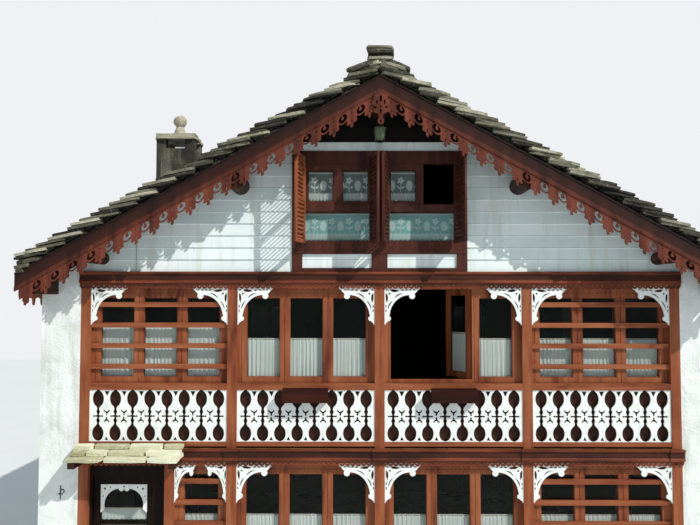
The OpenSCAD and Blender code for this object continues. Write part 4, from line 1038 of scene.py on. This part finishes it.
eaves = {"x": 4.94, "half": 4.50, "thick": 0.022, "drop": 0.250, "pitch": 0.280}


def eaveFringe(s):
    # The pierced board along the right eave, under the rafters' ends, laid out along X and turned to Y
    count = round(2 * s["half"] / s["pitch"])
    p, d = 2 * s["half"] / count, s["drop"]
    line, holes = [(-s["half"], 0)], []
    for i in range(count):
        x = -s["half"] + i * p
        line += [(x + u * p, -v * d) for u, v in ((0, 0.50), (0.20, 0.60), (0.35, 0.62), (0.41, 0.92))]
        line += arc((x + 0.5 * p, -0.93 * d), (0.07 * p, 0.07 * d), 190, 350, 6)
        line += [(x + u * p, -v * d) for u, v in ((0.59, 0.92), (0.65, 0.62), (0.80, 0.60))]
        holes.append(ring((x + 0.5 * p, -0.66 * d), 0.04 * p, 10))
        if i:
            holes.append(ring((x, -0.27 * d), 0.14 * p, 14))
    line += [(s["half"], -0.50 * d), (s["half"], 0)]
    board = cutBoard([line] + holes, 0, s["thick"])
    board.data.transform(
        shift(s["x"], 0, roofLine["apex"] - s["x"] * roofLine["slope"]) @ rotation(math.pi / 2, "Z"))
    return board


rightEave = eaveFringe(eaves)
settle(joined([rightEave, copied(rightEave, mirrorX)]), "eaveFringes", paintUpright, "house",
       "red_brown_paint")

bracket = {
    "front": -3.99, "thick": 0.025, "width": 0.515, "drop": 0.032, "height": 0.528,
    "share": 0.42,  # of a narrow bay
    "rib": ((0.360, -0.420), (0.289, 0.320)),  # middle and half axes of the ellipse under the rib
    "balls": ((0.397, -0.114, 0.043), (0.056, -0.436, 0.036)),
    "tops": (5.060, 2.550), "clear": 1.965, "narrow": 0.739,
    "slits": (  # middle and half axes
        ((0.255, -0.030), (0.024, 0.010)), ((0.315, -0.028), (0.022, 0.010)),
        ((0.372, -0.026), (0.020, 0.009)), ((0.425, -0.022), (0.016, 0.008)),
        ((0.022, -0.262), (0.008, 0.024)), ((0.022, -0.325), (0.008, 0.022))),
    "petals": (
        ((0.075, -0.022), (0.130, -0.016), (0.185, -0.028), (0.215, -0.046),
         (0.155, -0.058), (0.105, -0.052)),
        ((0.022, -0.068), (0.046, -0.100), (0.052, -0.150), (0.040, -0.215),
         (0.020, -0.170), (0.016, -0.115)),
        ((0.062, -0.062), (0.090, -0.075), (0.082, -0.095), (0.060, -0.088))),
}


def bracketBoard(s):
    # A left bracket from its upper left corner: a curved rib with a ball at each end, and lace behind it
    w, h = s["width"], s["height"]
    middle, axes = s["rib"]

    def crescent(out, thick, start, end):
        # an opening along the rib, pointed at both ends
        low = arc(middle, (axes[0] + out, axes[1] + out), start, end, 12)
        high = []
        for k in range(11, 0, -1):
            grow, turn = thick * math.sin(math.pi * k / 12), start + (end - start) * k / 12
            high.append(onCircle(middle, (axes[0] + out + grow, axes[1] + out + grow), turn))
        return low + high

    (x1, z1, r1), (x2, z2, r2) = s["balls"]
    outline = (
        [(0, s["drop"]), (w, s["drop"]), (w, 0), (0.965 * w, -0.020), (0.93 * w, -0.032), (0.885 * w, -0.060)]
        + arc((x1, z1), r1, 42, -198, 18) + arc(middle, axes, 96, 172, 20) + arc((x2, z2), r2, 78, -100, 14)
        + [(0.052, -0.480), (0.022, -0.500), (0.012, -h), (0, -h)]
    )
    openings = [ring((0.033, -0.024), 0.012, 10), crescent(0.040, 0.017, 106, 133),
                crescent(0.036, 0.017, 137, 163)]
    openings += list(s["petals"]) + [ring(*slit, 10) for slit in s["slits"]]
    board = cutBoard([outline] + openings, s["front"], s["thick"], 0.002)
    board.data.transform(shift(0, 0, -s["drop"]))
    return board


def bracketPlaces(s):
    # Left edge, clear width and top of each bay
    for left in places["bays"]:
        yield left, s["clear"], s["tops"][0]
        if left != places["bays"][0]:
            yield left, s["clear"], s["tops"][1]
    yield places["narrowBay"], s["narrow"], s["tops"][1]


corner = bracketBoard(bracket)
brackets = []
for left, clear, top in bracketPlaces(bracket):
    grow = min(1.0, bracket["share"] * clear / bracket["width"])
    for x, side in ((left, 1), (left + clear, -1)):
        brackets.append(copied(corner, shift(x, 0, top) @ stretch(side * grow, 1, 1)))
removed(corner)
settle(joined(brackets), "cornerBrackets", fretPaint, "house", "white_fretwork_paint", "corner_brackets")

# the openings of the railing boards, across in shares of a board's width and up in shares of its height
parapetBoards = {
    "cells": 8, "narrowCells": 3,
    "lowOval": (0.1575, 0.338, 0.152), "highOval": (0.825, 0.334, 0.160),  # height, half width, half height
    "slot": ((0.085, 0.325), (0.070, 0.360), (0.110, 0.385), (0.110, 0.412), (0.070, 0.445), (0.062, 0.469)),
    "cut": 0.4875, "dot": (0.250, 0.058), "neck": 0.095,
    "fork": ((0.042, 0.012), (0.045, 0.054), (0.180, 0.096), (0.165, 0.134), (0.052, 0.094)),
    "top": (0.150, 0.972, 0.866), "foot": (0.115, 0.022, 0.098),
}


def jointEdge(p, h, s):
    # One side of the opening between two boards, from the foot up
    height, wide, tall = s["lowOval"]
    low = arc((0, height), (wide, tall), -86, 66, 14)
    height, wide, tall = s["highOval"]
    high = arc((0, height), (wide, tall), -66, 68, 14)
    reach, r = s["dot"]
    dot = arc((reach, s["cut"]), (r, r * p / h), -140, 140, 8)
    upper = [(u, 2 * s["cut"] - v) for u, v in reversed(s["slot"])]
    return [(0.008, 0)] + low + list(s["slot"]) + dot + upper + high + [(s["neck"], 0.985), (s["neck"], 1)]


def boardHoles(x, p, h, s):
    fork = list(s["fork"]) + mirrored(s["fork"])
    holes = [[(x + u * p, (s["cut"] + flip * v) * h) for u, v in fork] for flip in (-1, 1)]
    for wide, flat, tip in (s["top"], s["foot"]):
        holes.append([(x - wide * p, flat * h), (x + wide * p, flat * h), (x, tip * h)])
    return holes


def piercedPanel(left, wide, cells, low, high, s):
    p, h = wide / cells, high[2] - low[2]
    edge = jointEdge(p, h, s)
    boards = []
    for i in range(cells + 1):
        rising = [((i - 0.5 + u) * p, v * h) for u, v in edge] if i else [(0, 0), (0, h)]
        falling = ([((i + 0.5 - u) * p, v * h) for u, v in reversed(edge)] if i < cells
                   else [(wide, h), (wide, 0)])
        holes = boardHoles(i * p, p, h, s) if 0 < i < cells else []
        boards.append(cutBoard([rising + falling] + holes, low[1], high[1] - low[1], 0.0012))
    panel = joined(boards)
    panel.data.transform(shift(left, 0, low[2]))
    return panel


for node, name in (("first_balustrades", "firstBalustrades"), ("ground_balustrades", "groundBalustrades")):
    low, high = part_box(node)
    bays = [(left, bracket["clear"], parapetBoards["cells"]) for left in places["bays"]]
    if node == "ground_balustrades":
        bays[0] = (places["narrowBay"], bracket["narrow"], parapetBoards["narrowCells"])
    panels = [piercedPanel(*bay, low, high, parapetBoards) for bay in bays]
    settle(joined(panels), name, fretPaint, "house", "white_fretwork_paint", node)

attic = {
    "half": 1.26, "height": 1.75, "front": -4.008, "recess": 0.020, "back": -3.89,
    "a": 0.100, "b": 1.095, "stile": 0.065, "meeting": 0.140,
    "panel": (0.115, 1.110, 0.056, 0.256), "moulding": (0.262, 0.300, 0.012),
    "low": (0.445, 0.868), "high": (0.974, 1.567), "sash": (1.022, 1.470),
    "glass": -3.940, "glassThick": 0.006, "rebate": 0.004,
    "hinges": (1.090, 0.115), "lug": 0.018, "lugHeight": 0.090, "lugFront": -4.046,
    "lugsAt": (5.816, 6.291, 6.766), "lugGap": 0.0003,
}


def atticLights(s):
    # Left edge, right edge, bottom and top of the glass; the outer light on the right stands open
    middle = (s["a"] + s["b"]) / 2
    inner = (s["a"] + s["stile"], middle - s["meeting"] / 2) + s["sash"]
    outer = (middle + s["meeting"] / 2, s["b"] - s["stile"]) + s["sash"]
    low = (s["a"], s["b"]) + s["low"]
    lights = [low, inner] + [(-x1, -x0, z0, z1) for x0, x1, z0, z1 in (low, inner, outer)]
    gap = (middle + s["meeting"] / 2 - 0.03, s["b"] + 0.0005) + s["high"]
    return lights, gap


def atticFrame(s):
    lights, gap = atticLights(s)
    whole = rectangle(-s["half"], s["half"], 0, s["height"])
    x0, x1, z0, z1 = s["panel"]
    panels = [(x0, x1, z0, z1), (-x1, -x0, z0, z1)]
    zones = [(s["a"], s["b"]) + s["high"], (-s["b"], -s["a"]) + s["high"]]
    lows = [light for light in lights if light[3] < 1]
    inside, (low, high, out) = s["front"] + s["recess"], s["moulding"]
    parts = [
        cutBoard([whole] + [rectangle(*z) for z in zones + lows + panels], s["front"],
                 s["recess"] + 0.001, 0.003),
        cutBoard([whole] + [rectangle(*z) for z in lights + [gap] + panels], inside,
                 s["back"] - inside, 0.004),
        cutBoard([rectangle(-s["half"], s["half"], low, high)], s["front"] - out, out + 0.002, 0.004),
    ]
    for part in parts:
        part.data.transform(shift(0, 0, places["atticFloor"]))
    for x in s["hinges"]:
        for z in s["lugsAt"]:
            left = -x - s["lug"] if x > 1 else x - s["lug"]
            high = (z - s["lugHeight"] / 2, z + s["lugHeight"] / 2)
            for low, far in ((left, left + s["lug"] - s["lugGap"]), (-left - s["lug"] + s["lugGap"], -left)):
                parts.append(cutBoard([rectangle(low, far, *high)], s["lugFront"],
                                      s["front"] - s["lugFront"] + 0.001, 0.002))
    return joined(parts)


def atticPanes(s):
    floor, grow = places["atticFloor"], s["rebate"]
    return joined([cutBoard([rectangle(x0 - grow, x1 + grow, floor + z0 - grow, floor + z1 + grow)],
                            s["glass"], s["glassThick"], 0.001) for x0, x1, z0, z1 in atticLights(s)[0]])


# the attic window's frame has the darker paint: painted shade
settle(atticFrame(attic), "atticFrame", paintShaded, "house", "red_brown_paint", "attic_window_frame")
settle(atticPanes(attic), "atticPanes", glassLook, "house", "window_glass", "attic_glass")

leaf = {
    "width": 0.470, "height": 1.250, "thick": 0.032, "frame": 0.055, "louvres": 9, "slat": 0.007,
    "foot": 5.666, "line": -4.046, "open": 102,
    "hinges": ((-1.090, 1), (-0.115, -1), (0.115, 1), (1.090, -1)),  # a hinge's X, and the side it shuts to
}


def shutterLeaf(s):
    # One louvred leaf, shut along X from its hinge, with a rail in the middle
    w, t, f = s["width"], s["thick"], s["frame"]
    zone = (s["height"] - 3 * f) / 2
    feet = (f, f + (f + zone))
    parts = [cutBoard([rectangle(0, w, 0, s["height"])]
                      + [rectangle(f, w - f, foot, foot + zone) for foot in feet], 0, t, 0.002)]
    p = zone / s["louvres"]
    slope = [(0.002, 0.10 * p), (0.002 + s["slat"], 0.10 * p),
             (t - 0.002, 0.72 * p), (t - 0.002 - s["slat"], 0.72 * p)]
    slat = cutBoard([slope], 0, w - 2 * f + 0.008, 0.0008)
    slat.data.transform(shift(w - f + 0.004, 0, 0) @ rotation(math.pi / 2, "Z"))
    parts += [copied(slat, shift(0, 0, foot + i * p)) for foot in feet for i in range(s["louvres"])]
    removed(slat)
    return joined(parts)


shutter = shutterLeaf(leaf)
# the left outer shutter has the paint as in sun, the other three the darker copy, painted shade
for number, (x, side) in enumerate(leaf["hinges"], 1):
    place = (shift(x, leaf["line"], leaf["foot"]) @ stretch(side, 1, 1)
             @ rotation(math.radians(-leaf["open"]), "Z"))
    settle(copied(shutter, place), f"atticShutter{number}", paintUpright if number == 1 else paintShaded,
           f"shutter_{number}", "red_brown_paint", f"attic_shutter_{number}")
removed(shutter)
print("fretwork and joinery made")


# Curtains

cloth = {
    "columns": 84, "rows": 12, "fold": 0.058, "depth": 0.0095, "thick": 0.0008, "steps": 600,
    "rodRadius": 0.0045, "rodDown": 0.014, "rodOut": 0.012,
}


def hungCloth(name, width, height, s, seed, lace=0, depth=None):
    # A gathered sheet over x = 0 to width and z = 0 to height, with lace scallops; returns it and
    # its flat size
    r = random.Random(seed)
    sheet = made(mesh.primitive_grid_add, x_subdivisions=s["columns"], y_subdivisions=s["rows"], size=1)
    sheet.name = name
    folds = width / s["fold"]
    a, b, c, d = (r.uniform(0, 2 * math.pi) for _ in range(4))
    deep = depth or s["depth"]

    def wave(u, v):
        # v is 1 at the top, where the sheet is gathered tightly on its rod
        bent = u + 0.020 * math.sin(8 * u + a) + 0.009 * math.sin(21 * u + b)
        main = math.sin(2 * math.pi * folds * bent + c + 0.5 * math.sin(3 * u + d) * (1 - v))
        fine = math.sin(2 * math.pi * folds * 2.3 * bent + d)
        own = 0.62 + 0.38 * math.sin(6.3 * u + b + 1.1 * (1 - v))
        return deep * ((0.45 + 0.55 * (1 - v)) * own * main + (0.10 + 0.25 * v) * fine * 0.6)

    for point in sheet.data.vertices:
        u, v = point.co.x + 0.5, point.co.y + 0.5
        low = 0.05 * height * (1 - abs(math.sin(math.pi * lace * u))) if lace else 0.0
        point.co = (u * width, wave(u, v), low + v * (height - low))
    spans = []
    for v in (0.0, 0.25, 0.5, 0.75, 1.0):
        line = [(k / s["steps"] * width, wave(k / s["steps"], v)) for k in range(s["steps"] + 1)]
        spans.append(sum(math.dist(p, q) for p, q in zip(line, line[1:])))
    bpy.ops.object.shade_smooth()
    return sheet, (sum(spans) / len(spans), height)


def finishCloth(sheet, finish, body, place, node):
    changed(sheet, "SOLIDIFY", thickness=cloth["thick"])
    sheet.data.transform(place)
    settle(sheet, sheet.name, finish, body, "white_curtain", node)


def rodShape(x, y, z, length, s, place=still):
    # A thin rod with a small knob at each end
    rod = made(mesh.primitive_cylinder_add, vertices=12, radius=s["rodRadius"], depth=length)
    rod.data.transform(place @ shift(x + length / 2, y, z) @ rotation(math.pi / 2, "Y"))
    ends = [rod]
    for end in (x, x + length):
        knob = made(mesh.primitive_uv_sphere_add, segments=12, ring_count=8, radius=s["rodRadius"] * 1.7)
        knob.data.transform(place @ shift(end, y, z))
        ends.append(knob)
    return joined(ends)


def paneEdges(p):
    # Name, left edge, floor, width and height of each café curtain in a closed light
    for bay, left in enumerate(p["bays"]):
        for light in range(3):
            x = left + p["sideStile"] + p["paneStep"] * light
            if bay != 2 or light == 2:
                yield (f"firstCurtain{bay}{light}", x, p["firstFloor"], p["pane"],
                       p["tallCafe" if bay == 0 else "cafe"])
            if bay:
                yield f"groundCurtain{bay}{light}", x, p["groundFloor"], p["pane"], p["cafe"]
    yield "groundCurtainNarrow", p["narrowBay"] + p["sideStile"], p["groundFloor"], p["narrowPane"], p["cafe"]


rods, sheets = [], []
for index, (name, x, floor, width, height) in enumerate(paneEdges(places)):
    low, y = floor + places["sill"], places["curtainY"]
    rods.append(rodShape(x - cloth["rodOut"], y, low + height - cloth["rodDown"],
                         width + 2 * cloth["rodOut"], cloth))
    sheets.append((*hungCloth(name, width + 0.01, height, cloth, 300 + index), curtainCloth,
                   shift(x - 0.005, y, low), "first_curtains" if floor > 1 else "ground_curtains"))

# The open right casement carries a curtain of its own
openLeaf = {
    "hinge": (1.3325, -3.8547, 3.720), "angle": 64, "left": 0.085, "width": 0.4303, "y": 0.014, "low": 0.04,
    "height": 0.62,
}
leafPlace = shift(*openLeaf["hinge"]) @ mirrorX @ rotation(math.radians(openLeaf["angle"]), "Z")
rods.append(rodShape(openLeaf["left"] - cloth["rodOut"], openLeaf["y"],
                     openLeaf["low"] + openLeaf["height"] - cloth["rodDown"],
                     openLeaf["width"] + 2 * cloth["rodOut"], cloth, leafPlace))
sheets.append((*hungCloth("openLeafCurtain", openLeaf["width"], openLeaf["height"], cloth, 350), curtainCloth,
               leafPlace @ shift(openLeaf["left"], openLeaf["y"], openLeaf["low"]), "first_curtains"))

# Lace behind each pane of the attic window: the names in the order of the lights
atticLace = {
    "names": ("LowRight", "InnerRight", "LowLeft", "InnerLeft", "OuterLeft"), "y": -3.919, "down": 0.008,
    "depth": 0.0028, "scallops": (7, 15),
}
for index, (name, (x, right, low, high)) in enumerate(zip(atticLace["names"], atticLights(attic)[0])):
    width, y = right - x, atticLace["y"]
    high -= atticLace["down"]
    rods.append(rodShape(x + 0.005, y, places["atticFloor"] + high - 0.010, width - 0.010, cloth))
    sheets.append((*hungCloth(f"atticLace{name}", width - 0.012, high - low, cloth, 400 + index,
                              atticLace["scallops"][width > 0.6], atticLace["depth"]),
                   curtainLace, shift(x + 0.006, y, places["atticFloor"] + low), "attic_curtains"))

settle(joined(rods), "curtainRods", rodFinish, "house", "dark_iron")
for sheet, flat, finish, place, node in sheets:
    finishCloth(sheet, finish, "house", place, node)

# The door's glass has a short lace above the bar and a plain curtain below it: each low, top, scallops
# and depth
doorGlass = {"left": -3.992, "width": 0.645, "y": -3.8135, "lace": (1.700, 1.875, 9, 0.003),
             "curtain": (1.275, 1.632, 0, 0.006)}
doorRods = [rodShape(doorGlass["left"], doorGlass["y"], doorGlass[name][1] - 0.010, doorGlass["width"], cloth)
            for name in ("lace", "curtain")]
settle(joined(doorRods), "doorCurtainRods", rodFinish, "door", "dark_iron")
for name, (low, high, lace, depth) in (("doorLace", doorGlass["lace"]),
                                       ("doorCurtain", doorGlass["curtain"])):
    sheet, flat = hungCloth(name, doorGlass["width"], high - low, cloth, 500 + lace, lace, depth)
    finishCloth(sheet, curtainCloth, "door", shift(doorGlass["left"], doorGlass["y"], low),
                "door_curtain")
print("curtains hung")


# Small pieces

boxes = {
    "places": ((-1.0525, -4.090), (1.0525, -4.090)), "inside": (0.598, 0.138), "top": 3.600, "deep": 0.05,
    "down": 0.02, "heap": 0.016, "rough": 0.007, "clods": 22,
}
lantern = {
    "x": 0.0, "y": -4.25, "hang": 7.465, "top": 7.300, "foot": 7.095, "radius": 0.092, "footRadius": 0.074,
    "bars": 6, "barRadius": 0.0035,
}
hook = {"x": -4.523, "z": 2.13, "wall": -4.0, "out": 0.012, "high": 0.20, "wide": 0.085, "iron": 0.010}


def soilBed(x, y, s, seed):
    # Earth in a flower box, heaped a little in the middle
    wide, long = s["inside"]
    bed = made(mesh.primitive_grid_add, x_subdivisions=36, y_subdivisions=10, size=1)
    for v in bed.data.vertices:
        u, w = v.co.x, v.co.y
        heap = (1 - (2 * u) ** 4) * (1 - (2 * w) ** 2) * s["heap"]
        place = Vector((u * wide * s["clods"], w * long * s["clods"], seed))
        v.co = (x + u * wide, y + w * long, s["top"] - s["down"] + heap + s["rough"] * noise.noise(place))
    return changed(bed, "SOLIDIFY", thickness=s["deep"], offset=-1)


settle(joined([soilBed(x, y, boxes, k) for k, (x, y) in enumerate(boxes["places"])]), "boxSoil", soilFinish,
       "house", "box_timber")


def turned(profile, x, y, steps=28):
    # A round piece from its profile of radii and heights, spun about an upright line
    piece = made(mesh.primitive_circle_add, vertices=3, radius=1)
    line = bmesh.new()
    points = [line.verts.new((max(r, 0.0005), 0, z)) for r, z in profile]
    for a, b in zip(points, points[1:]):
        line.edges.new((a, b))
    line.to_mesh(piece.data)
    line.free()
    cleaned(edited(piece, (mesh.spin, {"steps": steps, "angle": 2 * math.pi, "center": (0, 0, 0),
                                       "axis": (0, 0, 1)})))
    piece.data.transform(shift(x, y, 0))
    return piece


def lanternPieces(s):
    # The metal: rod, hood, foot and bars; and the glass body in it
    x, y, r, f, top, foot = (s[key] for key in ("x", "y", "radius", "footRadius", "top", "foot"))
    hood = [(0, s["hang"]), (0.006, s["hang"]), (0.006, top + 0.075), (0.018, top + 0.070),
            (0.026, top + 0.055), (r * 0.75, top + 0.020), (r * 1.05, top - 0.002), (r * 1.05, top - 0.010),
            (0, top - 0.010)]
    plate = [(0, foot + 0.012), (f + 0.008, foot + 0.012), (f + 0.010, foot), (f * 0.6, foot - 0.012),
             (0, foot - 0.014)]
    metal = [turned(hood, x, y), turned(plate, x, y)]
    long, thin = top - foot - 0.02, s["barRadius"]
    lean = rotation(math.atan((r - f) / (top - foot)), "Y")
    for k in range(s["bars"]):
        bar = turned([(0, 0), (thin, 0), (thin, long), (0, long)], 0, 0, 8)
        bar.data.transform(shift(x, y, foot + 0.010) @ rotation(2 * math.pi * (k + 0.5) / s["bars"], "Z")
                           @ shift(f + 0.003, 0, 0) @ lean)
        metal.append(bar)
    glass = turned([(f, foot + 0.013), (r - 0.002, top - 0.011), (r - 0.005, top - 0.011),
                    (f - 0.003, foot + 0.013), (f, foot + 0.013)], x, y, 36)
    return joined(metal), glass


def wallHook(s):
    # A small wrought holder on the plastered wall: an upright with a scroll and a pointed foot
    h, w, t = s["high"], s["wide"], s["iron"]
    upright = [(-t / 2, -h / 2 + 0.03), (0, -h / 2), (t / 2, -h / 2 + 0.03), (t / 2, h / 2), (-t / 2, h / 2)]
    scroll = arc((w * 0.32, h * 0.10), 0.030, 200, -60, 16) + arc((w * 0.32, h * 0.10), 0.020, -60, 200, 16)
    cross = rectangle(-w * 0.42, w * 0.42, -h * 0.12, -h * 0.12 + t)
    piece = joined([cutBoard([line], s["wall"] - s["out"], s["out"] + 0.002)
                    for line in (upright, scroll, cross)])
    piece.data.transform(shift(s["x"], 0, s["z"]))
    return piece


lanternMetal, lanternBody = lanternPieces(lantern)
settle(lanternMetal, "lanternMetal", ironFinish, "house", "dark_iron", "lantern")
settle(lanternBody, "lanternGlass", paleGlass, "house", "window_glass", "lantern")
settle(wallHook(hook), "wallHook", ironFinish, "house", "dark_iron")
print("small pieces made")


# Light and floor

def addLight(s):
    world = bpy.data.worlds.new("softStudio")
    bpy.context.scene.world = world
    world.use_nodes = True
    nodes, links = world.node_tree.nodes, world.node_tree.links
    nodes.clear()
    # the camera sees a plain pale ground, and the pieces are lit by the sky
    path, mix = nodes.new("ShaderNodeLightPath"), nodes.new("ShaderNodeMixShader")
    links.new(path.outputs["Is Camera Ray"], mix.inputs[0])
    for index, (colour, strength) in enumerate(((s["skyColour"], s["skyStrength"]),
                                                (s["seenColour"], 1.0)), 1):
        light = nodes.new("ShaderNodeBackground")
        light.inputs["Color"].default_value = colour
        light.inputs["Strength"].default_value = strength
        links.new(light.outputs[0], mix.inputs[index])
    links.new(mix.outputs[0], nodes.new("ShaderNodeOutputWorld").inputs["Surface"])
    bpy.ops.object.light_add(type="SUN", location=(6, -10, 12))
    sun = bpy.context.object
    sun.name = "softSun"
    sun.rotation_euler = [math.radians(a) for a in s["sunTurn"]]
    sun.data.color = s["sunColour"]
    sun.data.energy = s["sunStrength"]
    sun.data.angle = math.radians(s["sunAngle"])


def addFloor(s):
    floor = made(mesh.primitive_plane_add, size=90, location=(0, 0, 0))
    floor.name = "paleFloor"
    g = Graph("paleFloor", Roughness=0.9)
    paler = tuple(c * 1.03 for c in s["floorColour"][:3]) + (1,)
    floor.data.materials.append(g.finish(g.ramp(g.noise(0.6, 2, 0.5), (0.3, s["floorColour"]), (0.7, paler))))
    floor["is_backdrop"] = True


addCamera(cameraSettings)
addLight(lightSettings)
addFloor(lightSettings)
bpy.context.scene.view_settings.view_transform = "Standard"

low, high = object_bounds()
